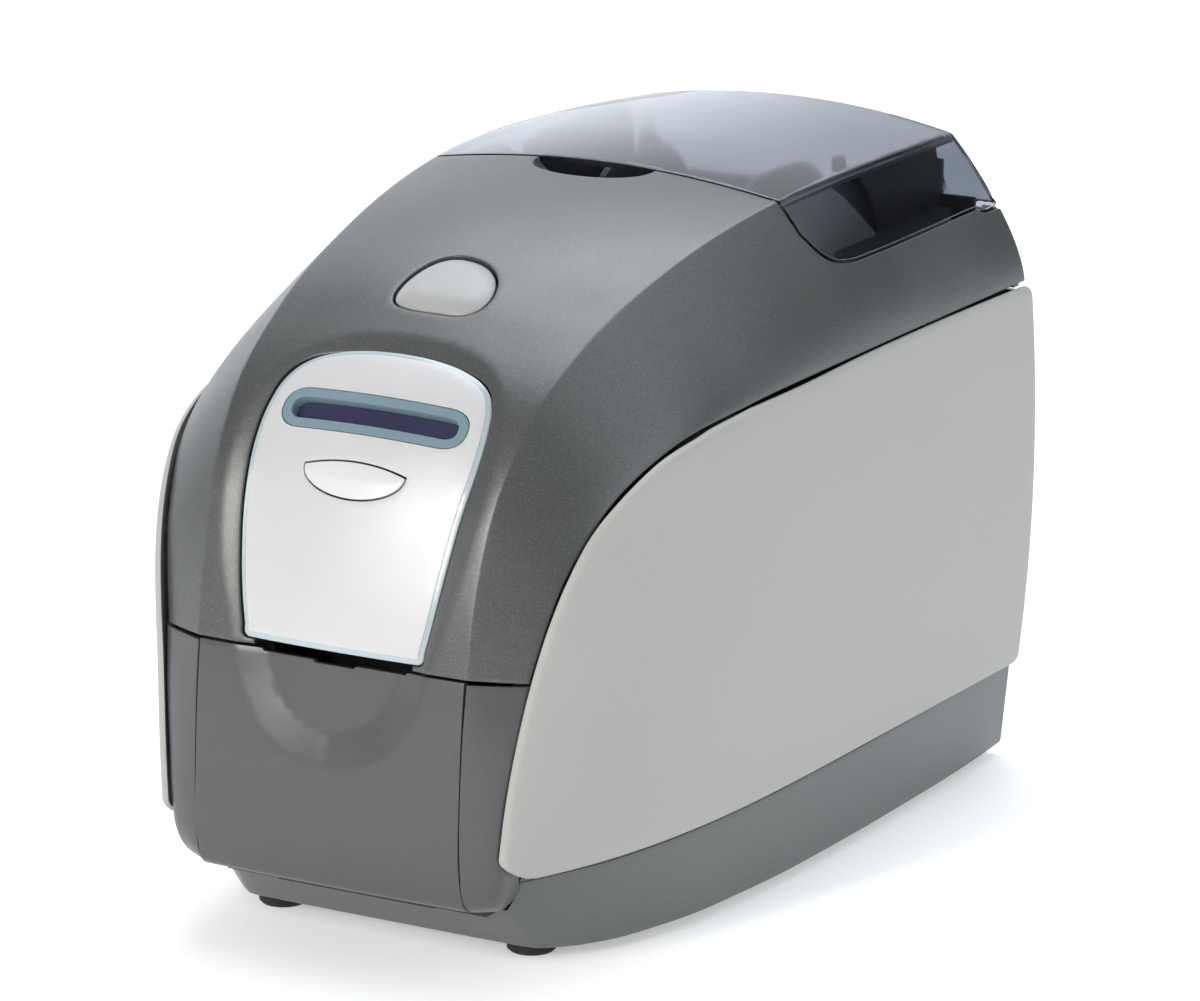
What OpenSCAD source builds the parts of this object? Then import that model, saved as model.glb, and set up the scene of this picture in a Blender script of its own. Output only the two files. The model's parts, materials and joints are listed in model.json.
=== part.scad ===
// Desktop id card printer: crowned front cover with a display fascia,
// smoke lid over the card feeder, light side panels, drop-down hopper door.
// x is to the right, y to the back, z up; the four feet stand on z = 0.

/* [Casing] */
// Wall of the top cover and of the door
cover_wall = 2.5; // [2:0.1:3]
// Wall of the smoke lid
lid_wall = 2; // [1.6:0.1:2.4]
// Thickness of the light side panels
panel_wall = 2.4; // [2:0.1:2.6]
// Gap between two casing parts
seam_gap = 0.8; // [0.5:0.1:1.2]
// Depth of the dish round the fascia and on the door
dish_depth = 2.4; // [1:0.1:3]

/* [Feet] */
// Radius of a rubber foot
foot_r = 8.5; // [6:0.5:10]
// Height of a rubber foot
foot_h = 4; // [4:0.5:4]

/* [Card path] */
// Length of a card
card_l = 85.6; // [85.5:0.1:85.7]
// Width of a card
card_w = 54; // [53.9:0.1:54.1]
// Thickness of a card
card_t = 0.76; // [0.5:0.01:0.8]
// Radius of a driven roller
roller_r = 8; // [7:0.5:8]
// Radius of a roller shaft
shaft_r = 3; // [2.5:0.1:3.2]
// Radial clearance of a shaft in its bush
bush_clear = 0.05; // [0.02:0.01:0.1]
// Radius of the hinge pins
pin_r = 2; // [1.8:0.1:2.2]

/* [Controls] */
// Half width of the release button
release_w = 18.4; // [16:0.2:18.6]
// Half length of the release button
release_l = 15; // [13:0.2:15.4]
// Play round each button
button_play = 0.6; // [0.4:0.1:0.8]

/* [Hidden] */

// ---- smooth curves through control points ----
function idx(T, t, i = 0) = (i >= len(T) - 2 || t < T[i + 1]) ? i : idx(T, t, i + 1);
function tg(T, P, i) = let (n = len(T))
  i == 0 ? (P[1] - P[0]) / (T[1] - T[0]) :
  i == n - 1 ? (P[n - 1] - P[n - 2]) / (T[n - 1] - T[n - 2]) :
  let (h0 = T[i] - T[i - 1], h1 = T[i + 1] - T[i])
  ((P[i] - P[i - 1]) / h0 * h1 + (P[i + 1] - P[i]) / h1 * h0) / (h0 + h1);
function sp(T, P, t) = let (c = min(max(t, T[0]), T[len(T) - 1]), i = idx(T, c), h = T[i + 1] - T[i], u = (c - T[i]) / h)
  (2 * u^3 - 3 * u^2 + 1) * P[i] + (u^3 - 2 * u^2 + u) * h * tg(T, P, i)
  + (3 * u^2 - 2 * u^3) * P[i + 1] + (u^3 - u^2) * h * tg(T, P, i + 1);
function runlen(P, i) = i == 0 ? 0 : runlen(P, i - 1) + norm([P[i][1] - P[i - 1][1], P[i][2] - P[i - 1][2]]);
function smooth(a, b, v) = let (u = min(max((v - a) / (b - a), 0), 1)) u * u * (3 - 2 * u);

// ---- the ribbon that runs up the front and over the top ----
// edge of the ribbon: half width, depth, height, crown at the middle
ridge = [[52, -158.5, 27, 1], [52, -161.5, 40, 1.2], [52.2, -161, 65, 1.4], [52.5, -159.5, 86, 1.5],
  [52.8, -157, 107, 1.5], [53.2, -152, 134, 1.8], [54.5, -143, 160, 2.4], [57, -125.5, 185, 3.2],
  [60, -91, 207.5, 4.4], [64, -44, 223.5, 5.4], [68.8, 18, 234, 6], [70.4, 55, 235.8, 6],
  [69.6, 92, 235.3, 6], [67.3, 127, 233.8, 6.3], [64.4, 156, 232, 6.7]];
rs = [for (i = [0:len(ridge) - 1]) runlen(ridge, i)];
s_end = rs[len(rs) - 1];
s_seam = rs[4] - 0.6;   // station of the seam between cover and door
function rdg(s) = sp(rs, ridge, s);
function rnorm(s) = let (c = min(max(s, 0.6), s_end - 0.6), a = rdg(c - 0.5), b = rdg(c + 0.5), d = [b[1] - a[1], b[2] - a[2]] / norm([b[1] - a[1], b[2] - a[2]])) [-d[1], d[0]];
// point on the ribbon at station s, x across, raised by h along the normal
function rib(s, x, h = 0) = let (c = rdg(s), n = rnorm(s), q = min(abs(x) / c[0], 1), b = c[3] * (1 - q * q) + h)
  [x, c[1] + n[0] * b, c[2] + n[1] * b];

// ---- dish: half width of its outer and inner edge at a station ----
fas_s = [82, 89, 109, 120, 135, 148, 163, 174, 180, 184, 186];
fas_w = [32, 35.6, 39.2, 40.6, 42.2, 43.3, 42.6, 39.6, 35, 25, 0];
function dish_out(s) = s > 190 ? 0 : s > 150 ? 51 * sqrt(max(0, 1 - ((s - 150) / 44)^2)) : s > 78 ? 38.6 + 12.4 * sin(90 * (s - 78) / 72) : s < 41 ? 0 : 38.6 * sqrt(max(0, 1 - ((78 - s) / 37)^2));
function dish_in(s) = s > 188 ? 0 : s > 150 ? 44.5 * sqrt(max(0, 1 - ((s - 150) / 38)^2)) : s > 78 ? 33 + 11.5 * sin(90 * (s - 78) / 72) : s < 54 ? 0 : 26 * sqrt(max(0, 1 - ((78 - s) / 24)^2)) + 7 * smooth(66, 78, s);
function dish(s, x) = let (a = dish_in(s), b = dish_out(s)) b <= 0.01 ? 0 :
  dish_depth * (1 - smooth(a, max(b, a + 4), abs(x))) * smooth(41, 54, s) * (1 - smooth(186, 196, s));

// ---- lower edge of the cover, where it meets a side panel ----
edge_s = [rs[4], rs[5], rs[6], rs[7], rs[8], rs[9], rs[10], rs[11], rs[12], rs[13], rs[14]];
edge_p = [[71.4, -147.3, 106, 1.15], [75.2, -142, 125, 1.15], [78.6, -135.7, 140.2, 1.2], [84.4, -119.8, 159.6, 1.25],
  [90.4, -88.4, 174.7, 1.35], [93, -42.2, 179.6, 1.5], [93.9, 20, 181.2, 1.575], [94, 55, 181.6, 1.575],
  [93.9, 92, 181.8, 1.575], [93.7, 127, 181.8, 1.575], [93.1, 158, 181.6, 1.575]];
function cedge(s) = s < rs[4] ? sp(edge_s, edge_p, rs[4]) + (s - rs[4]) * [-0.19, -0.28, 1, 0] : sp(edge_s, edge_p, s);
function side(s, t) = let (c = rdg(s), e = cedge(s), g = 1 - pow(1 - t, e[3]))
  [c[0] + (e[0] - c[0]) * g, c[1] + (e[1] - c[1]) * t, c[2] + (e[2] - c[2]) * t];
// one row of the casing: left edge, over the crown, right edge
nt = 7; nc = 12;
function crow(s, dd = 1) = concat(
  [for (i = [0:nt - 1]) let (p = side(s, 1 - i / nt)) [-p[0], p[1], p[2]]],
  [for (i = [-nc:nc]) let (x = rdg(s)[0] * i / nc) rib(s, x, -dd * dish(s, x))],
  [for (i = [1:nt]) side(s, i / nt)]);

// ---- a skin of even thickness on a grid of points ----
function gn(G, i, j) = let (r = len(G), c = len(G[0]),
  a = G[min(i + 1, r - 1)][j] - G[max(i - 1, 0)][j], b = G[i][min(j + 1, c - 1)] - G[i][max(j - 1, 0)], n = cross(b, a)) n / norm(n);
function inward(G, t) = [for (i = [0:len(G) - 1]) [for (j = [0:len(G[0]) - 1]) G[i][j] - t * gn(G, i, j)]];
module skin2(A, B) {
  r = len(A); c = len(A[0]); o = r * c;
  pts = concat([for (i = [0:r - 1], j = [0:c - 1]) A[i][j]], [for (i = [0:r - 1], j = [0:c - 1]) B[i][j]]);
  f = concat(
    [for (i = [0:r - 2], j = [0:c - 2], k = [0, 1]) k == 0 ? [i * c + j, (i + 1) * c + j, (i + 1) * c + j + 1] : [i * c + j, (i + 1) * c + j + 1, i * c + j + 1]],
    [for (i = [0:r - 2], j = [0:c - 2], k = [0, 1]) k == 0 ? [o + i * c + j, o + (i + 1) * c + j + 1, o + (i + 1) * c + j] : [o + i * c + j, o + i * c + j + 1, o + (i + 1) * c + j + 1]],
    [for (j = [0:c - 2], k = [0, 1]) k == 0 ? [j, j + 1, o + j + 1] : [j, o + j + 1, o + j]],
    [for (j = [0:c - 2], k = [0, 1], m = [(r - 1) * c]) k == 0 ? [m + j, o + m + j + 1, m + j + 1] : [m + j, o + m + j, o + m + j + 1]],
    [for (i = [0:r - 2], k = [0, 1]) k == 0 ? [i * c, o + i * c, o + (i + 1) * c] : [i * c, o + (i + 1) * c, (i + 1) * c]],
    [for (i = [0:r - 2], k = [0, 1], m = [c - 1]) k == 0 ? [i * c + m, o + (i + 1) * c + m, o + i * c + m] : [i * c + m, (i + 1) * c + m, o + (i + 1) * c + m]]);
  polyhedron(pts, f, convexity = 10);
}
module skin(G, t) skin2(G, inward(G, t));
module flip() mirror([1, 0, 0]) children();
module both() { children(); flip() children(); }
// a prism whose outline is in (y, z), from x0 to x1
module yz(x0, x1) translate([x0, 0, 0]) rotate([90, 0, 90]) linear_extrude(x1 - x0) children();
// a cylinder along x
module rod(y, z, x0, x1, r) translate([x0, y, z]) rotate([0, 90, 0]) cylinder(h = x1 - x0, r = r, $fn = 48);
module tube(y, z, x0, x1, r, ri) translate([x0, y, z]) rotate([0, 90, 0]) difference() {
  cylinder(h = x1 - x0, r = r, $fn = 48);
  translate([0, 0, -1]) cylinder(h = x1 - x0 + 2, r = ri, $fn = 48);
}
module box(a, b) translate(a) cube(b - a);

// ---- lid: its outline in side view ----
lid_line = [[19.8, 236], [22, 223], [28.5, 215], [33.5, 212], [42, 210.2], [55, 209.7], [130, 209.5], [145, 208.9], [158, 208.2]];
module lid_zone(g) yz(-100, 100)
  polygon(concat([[19.8 + g, 262]], [for (p = lid_line) [p[0] + g, p[1] + g]], [[175, 208.2 + g], [175, 262]]));

module casing(t, s0, s1, n) skin([for (i = [0:n]) crow(s0 + (s1 - s0) * i / n)], t);
// ---- frame at the release button: station, tilt ----
s_rel = 221.5;
rel_c = rib(s_rel, 0); rel_n = rnorm(s_rel); rel_a = atan2(-rel_n[0], rel_n[1]);
module at_release() translate(rel_c) rotate([rel_a, 0, 0]) children();
function egg(w, l) = [for (a = [0:9:351]) let (c = cos(a), s = sin(a)) [w * sign(c) * pow(abs(c), 0.86) * (1 - 0.07 * s), l * sign(s) * pow(abs(s), 0.92)]];
// ---- frame at the select button on the fascia ----
s_sel = 139;
sel_c = rib(s_sel, 0, -1.6); sel_n = rnorm(s_sel); sel_a = atan2(-sel_n[0], sel_n[1]);
module at_select() translate(sel_c) rotate([sel_a, 0, 0]) children();
function moon(g) = concat(
  [for (i = [0:12]) let (u = -1 + i / 6) [(19.5 + g) * u, 3.6 + g + 2.6 * (1 - u * u)]],
  [for (i = [1:11]) let (a = 180 * i / 12) [(19.5 + g) * cos(a), 3.2 - (9.4 + g) * sin(a)]]);
module moon2d(g) polygon(moon(g));
// ---- frame at the display ----
s_dis = 161.5;
dis_c = rib(s_dis, 0, -1.6); dis_n = rnorm(s_dis); dis_a = atan2(-dis_n[0], dis_n[1]);
module at_display() translate(dis_c) rotate([dis_a, 0, 0]) children();
module slot2d(w, h) { square([2 * (w - h), 2 * h], center = true); for (x = [-1, 1]) translate([x * (w - h), 0]) circle(h, $fn = 48); }
// fascia: outline on the ribbon, as rows of stations
function faw(s) = sp(fas_s, fas_w, s);
function fas_rows(g, h, n) = [for (i = [0:n]) let (s = 82.4 - g + (185.4 - 82.4 + 1.6 * g) * (1 - pow(1 - i / n, 1.5)), w = max(faw(min(s, 185.6)) + g, 3))
  [for (j = [-6:6]) let (x = w * j / 6) rib(s, x, h - 3 * (x / 42)^2)]];

// ================= fixed casing =================
// base outline: lower and upper edge from the middle of the front round to the back
base_lo = [[0, -122, 4], [28, -122, 4], [50, -121.7, 4], [56.6, -121.3, 4], [62.5, -116.5, 4], [68.4, -110.5, 4], [75.7, -97, 4], [81, -79, 4],
  [85.2, -59, 4], [87.4, -35, 4], [89, -10, 4], [89.3, 20, 4], [89, 50, 4], [88.1, 80, 4], [87, 110, 4], [85, 142, 4], [82.8, 165, 4]];
base_hi = [[0, -137, 20], [28, -137, 20], [47, -136.4, 20], [54.6, -135.3, 20], [59.6, -137, 26.8], [64.6, -138.6, 34], [74.4, -115.4, 34.4], [80.2, -97.2, 34.6],
  [84.6, -74, 34.8], [87.6, -46, 35], [89.2, -18, 35.2], [89.8, 14, 35.5], [90, 46, 35.7], [89.8, 78, 36], [89.2, 110, 36.3], [87.8, 142, 36.6], [86.3, 165, 37]];
nb = len(base_lo) - 1;
function base_loop(v, t) = let (
  o = [for (k = [0:nb]) base_lo[k] * (1 - v) + base_hi[k] * v],
  n = [for (k = [0:nb]) let (d = o[min(k + 1, nb)] - o[max(k - 1, 0)]) [-d[1], d[0], 0] / norm([d[0], d[1]])],
  m = [for (k = [0:nb]) k == nb ? [o[k][0] - t, o[k][1] - t, o[k][2]] : o[k] + t * (k == 0 ? [0, 1, 0] : n[k])])
  concat([for (k = [nb:-1:1]) [-m[k][0], m[k][1], m[k][2]]], m);
module base_tray() color([0.33, 0.36, 0.36]) {
  A = base_loop(0, 0); B = base_loop(1, 0); C = base_loop(1, 2.6); D = [for (p = base_loop(0.06, 2.6)) [p[0], p[1], 6.5]];
  n = len(A);
  polyhedron(concat(A, B, C, D), concat(
    [for (r = [0:2], i = [0:n - 1], k = [0, 1]) let (a = r * n + i, b = r * n + (i + 1) % n, c = a + n, d = b + n) k == 0 ? [a, c, b] : [b, c, d]],
    [[for (i = [0:n - 1]) i]], [[for (i = [n - 1:-1:0]) 3 * n + i]]), convexity = 8);
}
foot_at = [[49.8, -111.4], [-49.8, -111.4], [66, 146], [-66, 146]];
module rubber_feet() color([0.07, 0.07, 0.07]) for (p = foot_at) translate([p[0], p[1], 0])
  rotate_extrude($fn = 48) polygon([[0, 0], [foot_r - 1, 0], [foot_r, 1], [foot_r, foot_h], [0, foot_h]]);

// light side panel: front and top edge, then the surface behind it
pe = [[66.6, -145.9, 36.6], [66.9, -151.6, 39.2], [67.3, -156.6, 42.2], [67.6, -159, 47], [68.9, -157.9, 61.4], [73.1, -152.5, 95],
      [76.3, -148.5, 113], [79.2, -144.1, 127], [82.3, -137.7, 140.5], [85.4, -129.2, 152.4], [89.3, -117.1, 162.3], [92.5, -99.2, 170.9], [94.7, -69.4, 176.6],
      [96, -42, 178.3], [96.8, -7, 179], [97, 29, 180], [97, 93, 180.4], [96.4, 159, 179.6]];
ps = [for (i = [0:len(pe) - 1]) runlen(pe, i)];
pl = ps[len(ps) - 1];
function wide(z) = z < 125 ? 98.9 - 5.2 * ((125 - z) / 83)^2 : 98.9 - 2.2 * ((z - 125) / 55)^2;
// the panel's surface: x at a depth behind the edge point e
function px(e, y, z) = let (w = wide(z), f = max(0, (60 - y) / (60 - min(e[1], 59)))) e[1] > 55 ? e[0] * 0 + w : w - (w - e[0]) * pow(f, 4);
function edge_at(z) = z < 47 ? [67.6, -159 + 13 * pow((47 - z) / 10, 2), z] : sp([for (i = [3:14]) pe[i][2]], [for (i = [3:14]) pe[i]], z);
function pbot(u) = [0, -142.4 + 301.4 * u, 35.6 + 2.1 * u];
pu = [0, 0.02, 0.045, 0.08, 0.12, 0.165, 0.21, 0.25, 0.285, 0.32, 0.36, 0.42, 0.48, 0.56, 0.66, 0.78, 0.9, 1];
function panel_pt(u, v) = let (T = sp(ps, pe, pl * u), B = pbot(u * (0.3 + 0.7 * u)), y = B[1] + (T[1] - B[1]) * v, z = B[2] + (T[2] - B[2]) * v,
  e = z > 176 ? [94.7, -72, z] : edge_at(z), y2 = max(y, e[1]))
  [v > 0.999 ? T[0] : px(e, y2, z), y, z];
function panel_rows() = [for (u = pu) [for (j = [9:-1:0]) panel_pt(u, j / 9)]];
module side_panel() skin(panel_rows(), panel_wall);
module right_side_panel() color([0.72, 0.71, 0.69]) side_panel();
module left_side_panel() color([0.72, 0.71, 0.69]) flip() side_panel();

// lower front corner: rows from the door edge round to the side
bz = [104.9, 86, 65, 46, 36, 31, 27, 23.5, 21, 20.3];
bD = [[52.9, -157.1], [52.6, -159.5], [52.4, -161], [52.3, -161.4], [52.3, -160.7], [52.3, -160], [52.3, -158.3], [52.3, -154.5], [52.3, -147], [52.3, -139]];
bM = [[62.4, -152], [61, -155], [59.6, -157.2], [58.6, -158.2], [58, -157.6], [57.5, -156.6], [56.8, -155], [56, -151.5], [54.8, -145], [53.3, -138.2]];
bG = [[70.4, -146], [67.6, -149.6], [64.4, -152.6], [62.8, -153.2], [62.4, -152], [61.8, -150.5], [60.8, -149], [59, -146.5], [56.5, -141.5], [54.2, -137.4]];
bH = [[72.4, -140], [69.2, -143], [65.6, -145.2], [62.6, -145.6], [62.4, -140.4], [61, -138.2], [59.4, -137.2], [57.4, -136.6], [55.8, -136.1], [55, -136]];
module corner_bezel() skin([for (i = [len(bz) - 1:-1:0]) [for (k = [0:9]) let (q = sp([0, 1, 2, 3], [bD[i], bM[i], bG[i], bH[i]], k / 3)) [q[0], q[1], bz[i]]]], 1.6);
module right_corner_bezel() color([0.36, 0.37, 0.38]) corner_bezel();
module left_corner_bezel() color([0.36, 0.37, 0.38]) flip() corner_bezel();

module rear_panel() color([0.3, 0.32, 0.32]) difference() {
  translate([0, 162.6, 0]) rotate([90, 0, 0]) linear_extrude(2.2) polygon([[-90.6, 38.2], [-93.2, 60], [-95.2, 100], [-95.6, 125], [-94.8, 150], [-93.6, 176],
    [93.6, 176], [94.8, 150], [95.6, 125], [95.2, 100], [93.2, 60], [90.6, 38.2]]);
  for (i = [0:11]) box([-60 + 5 * i, 158, 120], [-57.6 + 5 * i, 168, 150]);
  box([36, 158, 46], [64, 168, 68]);
  box([-30, 158, 46], [-16, 168, 58]);
  box([0, 158, 46], [22, 168, 66]);
  for (x = [-82, 82], z = [46, 168]) translate([x, 170, z]) rotate([90, 0, 0]) cylinder(h = 14, r = 1.6, $fn = 24);
}

// ================= frame and card path =================
fx = 46; ft = 2;
path_z = 118;
ax_z = path_z - roller_r;
y_pl = -45; y_in = 10; y_ex = -95; y_fd = 88; y_mt = -40; z_mt = 58;
y_su = 6; z_su = 158; y_tu = -92; z_tu = 152; y_pn = y_tu + 20.9;
pinch_r = 6; pinch_z = path_z + card_t + 0.04 + pinch_r;
shafts = [[y_pl, ax_z], [y_in, ax_z], [y_ex, ax_z], [y_fd, ax_z]];
thin = [[y_in, pinch_z], [y_ex, pinch_z]];
frame_out = [[-116.6, 6.5], [-116.6, 134], [-106, 168], [-64, 168], [-58, 134], [-14, 134], [-8, 172], [24, 172], [34, 140], [140, 140], [152, 150], [152, 6.5]];
module frame_plate(x0) difference() {
  yz(x0, x0 + ft) polygon(frame_out);
  for (p = shafts) rod(p[0], p[1], x0 - 1, x0 + ft + 1, 5);
  for (p = thin) rod(p[0], p[1], x0 - 1, x0 + ft + 1, 4);
  rod(y_su, z_su, x0 - 1, x0 + ft + 1, 4);
  rod(y_tu, z_tu, x0 - 1, x0 + ft + 1, 4);
  for (p = [[70, 56], [108, 70], [20, 60], [-84, 62]]) rod(p[0], p[1], x0 - 1, x0 + ft + 1, 12);
  if (x0 < 0) { rod(y_mt, z_mt, x0 - 1, x0 + ft + 1, 11); for (a = [45:90:315]) rod(y_mt + 21.9 * cos(a), z_mt + 21.9 * sin(a), x0 - 1, x0 + ft + 1, 1.6); }
  if (x0 > 0) { rod(y_pn, z_tu, x0 - 1, x0 + ft + 1, 5); for (s = [-1, 1]) rod(y_pn, z_tu + 8.5 * s, x0 - 1, x0 + ft + 1, 1.2); }
}
module left_frame() color([0.72, 0.73, 0.74]) frame_plate(-fx - ft);
module right_frame() color([0.72, 0.73, 0.74]) frame_plate(fx);
module card_deck() color([0.12, 0.12, 0.13]) difference() {
  union() { box([-46, -111, 114.6], [46, 40, 117.2]); for (s = [-1, 1]) box([s > 0 ? 27.6 : -29.6, -108, 117], [s > 0 ? 29.6 : -27.6, 40, 119.6]); }
  for (y = [y_pl, y_in, y_ex]) box([-33, y - 9.2, 110], [33, y + 9.2, 121]);
}
// output hopper: back, sides, floor, sill, and the ears that carry the door pins
dy0 = -151.6; dz0 = 29.8; dpin = 1.4;
module output_hopper() color([0.1, 0.1, 0.11]) difference() {
  union() {
    box([-31, -119.5, 21], [31, -117.3, 106]);
    for (s = [-1, 1]) yz(s > 0 ? 29 : -31, s > 0 ? 31 : -29) polygon([[-143.3, 21], [-143.3, 36], [-147, 40], [-147, 104], [-117.3, 104], [-117.3, 21]]);
    box([-51.4, -143.2, 20.6], [51.4, -137.4, 22.6]);
    box([-31, -143, 20.1], [31, -117.3, 23.2]);
    for (s = [-1, 1]) {
      yz(s > 0 ? 40.5 : -43.5, s > 0 ? 43.5 : -40.5) polygon([[-154, 31], [-152.4, 34.4], [-150, 38.5], [-138.5, 38.5], [-138.5, 22], [-141, 22], [-141, 35.8], [-147.6, 35.8], [-149.2, 31.2]]);
      rod(dy0, dz0, s > 0 ? 40.5 : -43.5, s > 0 ? 43.5 : -40.5, 2.8);
    }
  }
  for (s = [-1, 1]) rod(dy0, dz0, s > 0 ? 39 : -50, s > 0 ? 50 : -39, dpin);
}
// pins of the cover hinge and the door hinge, and the two pins the latch catches
module casing_pins() color([0.75, 0.75, 0.76]) both() {
  rod(dy0, dz0, 40.5, 50.5, dpin);
  rod(ch_y, ch_z, 62, 76, pin_r);
  rod(-111, 128, 35.5, 46, 2.2);
}
module panel_posts() color([0.2, 0.21, 0.22]) both() {
  rod(132, 60, 48, 93.2, 4);
  rod(132, 126, 48, 96.1, 4);
  rod(-58, 44, 48, 89, 4);
}

// card feeder: open-topped cassette with a gate slot at the front foot
cas_y0 = 44; cas_y1 = cas_y0 + card_l + 1.4; cas_x = card_w / 2 + 0.6;
module card_cassette() color([0.09, 0.09, 0.1]) difference() {
  union() {
    both() yz(cas_x, cas_x + 2.6) polygon(concat([[cas_y0 - 2.8, 113.6], [cas_y1 + 2.8, 113.6]],
      [for (a = [0:10:90]) [cas_y1 - 28 + 30.8 * cos(a), 190 + 36 * sin(a)]], [for (a = [90:10:180]) [cas_y0 + 34 + 20 * cos(a), 200 + 26 * sin(a)]], [[cas_y0 - 2.8, 150]]));
    box([-cas_x - 1, cas_y0 - 2.4, path_z + card_t + 0.6], [cas_x + 1, cas_y0, 176]);
    box([-cas_x - 1, cas_y1, 114], [cas_x + 1, cas_y1 + 2.4, 204]);
    box([-cas_x - 1, cas_y0 - 2.4, 114], [cas_x + 1, cas_y1 + 2.4, 117.4]);
    both() box([cas_x + 1, cas_y0 + 4, 114], [46, cas_y1 - 4, 118]);
    both() box([4.4, cas_y0 - 6, 122], [7, cas_y0 - 1, 150]);
  }
  box([-24, y_fd - 10.4, 110], [24, y_fd + 10.4, 125]);
  box([-6, cas_y1 - 1, 150], [6, cas_y1 + 4, 210]);
}
// guides beside the card stack, the deck round it under the lid, and its two cheeks
deck_z = 204.4;
module feeder_guides() color([0.16, 0.16, 0.17]) {
  both() {
    box([36, 52, 118], [40, 55, 222]);
    box([36, 118, 118], [40, 121, 226]);
    box([36, 84, 118], [40, 86.4, 214]);
    translate([0, 0, deck_z]) linear_extrude(2.6) polygon([[32, 28], [74, 28], [78.6, 34], [78.6, 130], [72, 138], [68, 147.4], [60, 147.4], [58, 138], [32, 138]]);
    yz(62, 64.2) polygon([[101.4, deck_z], [101.4, 207], [101, 213], [99.4, 218.6], [97.2, 223], [94.4, 227], [90.6, 230.8], [126, 230.4], [140.6, 228.8],
      [141.6, 225.4], [146, 225.8], [147.4, 216], [147.4, deck_z]]);
    yz(64.6, 66.8) polygon([[30, deck_z], [98.6, deck_z], [98.6, 207], [90.6, 213.3], [83.5, 218.9], [75.9, 224.5], [67, 230], [60, 231.2], [30, 231.2]]);
  }
  box([-34, 28, deck_z], [34, 38.6, deck_z + 2.6]);
  box([-34, 135.6, deck_z], [34, 138, deck_z + 2.6]);
}
module bush(p, x, r, ro, w) tube(p[0], p[1], x, x + w, ro, r + bush_clear);
module shaft_bushes() color([0.78, 0.62, 0.3]) {
  for (p = shafts, s = [0, 1]) bush(p, s == 0 ? -fx - ft - 1.2 : fx, shaft_r, 5, 3.2);
  for (p = thin, s = [0, 1]) bush(p, s == 0 ? -fx - ft - 1.2 : fx, 2, 4, 3.2);
  for (p = [[y_su, z_su], [y_tu, z_tu]], s = [0, 1]) bush(p, s == 0 ? -fx - ft - 1.2 : fx, 2.5, 4, 3.2);
}
module drive_motor() color([0.2, 0.2, 0.21]) difference() {
  union() {
    box([-46, y_mt - 21, z_mt - 21], [-11, y_mt + 21, z_mt + 21]);
    rod(y_mt, z_mt, -47.8, -45.5, 10.9);
  }
  rod(y_mt, z_mt, -49, -30, 2.55);
  both() for (a = [45:90:315]) rod(y_mt + 27 * cos(a), z_mt + 27 * sin(a), 10, 50, 2.6);
}
belt_x = 52; belt_w = 6; pul_r = 8;
module loop2d(P, r) hull() for (p = P) translate(p) circle(r, $fn = 64);
module belt(P, x) color([0.08, 0.08, 0.08]) yz(x, x + belt_w) difference() { loop2d(P, pul_r + 1.5); loop2d(P, pul_r + 0.25); }
module drive_belt() belt([[y_ex, ax_z], [y_in, ax_z], [y_mt, z_mt]], -belt_x - belt_w);
module feed_belt() belt([[y_in, ax_z], [y_fd, ax_z]], -belt_x - 2 * belt_w - 3);
module pulley(y, z, x) { rod(y, z, x, x + belt_w, pul_r); for (k = [-1.3, belt_w + 0.3]) rod(y, z, x + k, x + k + 1, pul_r + 2.6); }
px1 = -belt_x - belt_w; px2 = -belt_x - 2 * belt_w - 3;
module motor_pulley() color([0.7, 0.7, 0.72]) { pulley(y_mt, z_mt, px1); rod(y_mt, z_mt, px1, -31, 2.5); }
module roller(y, z, w, r, rsh, x0, x1) { rod(y, z, -w, w, r); rod(y, z, x0, x1, rsh); }
module platen_roller() color([0.13, 0.13, 0.13]) { roller(y_pl, ax_z, 30, roller_r, shaft_r, px1, 50); pulley(y_pl, ax_z, px1); }
module exit_roller() color([0.2, 0.2, 0.2]) { roller(y_ex, ax_z, 28, roller_r, shaft_r, px1, 50); pulley(y_ex, ax_z, px1); }
module input_roller() color([0.2, 0.2, 0.2]) { roller(y_in, ax_z, 28, roller_r, shaft_r, px2, 50); pulley(y_in, ax_z, px1); pulley(y_in, ax_z, px2); }
module feed_roller() color([0.5, 0.2, 0.1]) { roller(y_fd, ax_z, 20, roller_r, shaft_r, px2, 50); pulley(y_fd, ax_z, px2); }
module input_pinch_roller() color([0.85, 0.85, 0.83]) roller(y_in, pinch_z, 28, pinch_r, 2, -49, 49);
module exit_pinch_roller() color([0.85, 0.85, 0.83]) roller(y_ex, pinch_z, 28, pinch_r, 2, -49, 49);
// ribbon drive: gear on the take-up spindle, pinion on its motor
gm = 0.8; gN = 40; gP = 12;
function gear_pts(n, m, add, ded, ph) = [for (i = [0:n - 1], k = [0:3]) let (a = ph + 360 / n * (i + [-0.34, -0.13, 0.13, 0.34][k]), r = m * n / 2 + [-ded, add, add, -ded][k]) [r * cos(a), r * sin(a)]];
module gear(y, z, x, w, n, ph, b) difference() {
  translate([x, y, z]) rotate([90, 0, 90]) linear_extrude(w) polygon(gear_pts(n, gm, 0.66, 0.98, ph));
  if (b > 0) rod(y, z, x - 1, x + w + 1, b);
}
module spool(y, z) { rod(y, z, -49, 49, 2.5); for (x = [-38, 32]) { rod(y, z, x, x + 6, 9); } rod(y, z, -34, 34, 6); }
module supply_spindle() color([0.8, 0.8, 0.78]) { spool(y_su, z_su); rod(y_su, z_su, 39.5, 41.5, 12); }
module take_up_spindle() color([0.8, 0.8, 0.78]) { spool(y_tu, z_tu); gear(y_tu, z_tu, 41, 4, gN, 0, 0); }
module ribbon_pinion() color([0.85, 0.83, 0.75]) { gear(y_pn, z_tu, 41, 4, gP, 15, 0); rod(y_pn, z_tu, 41, 62, 1.5); }
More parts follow.
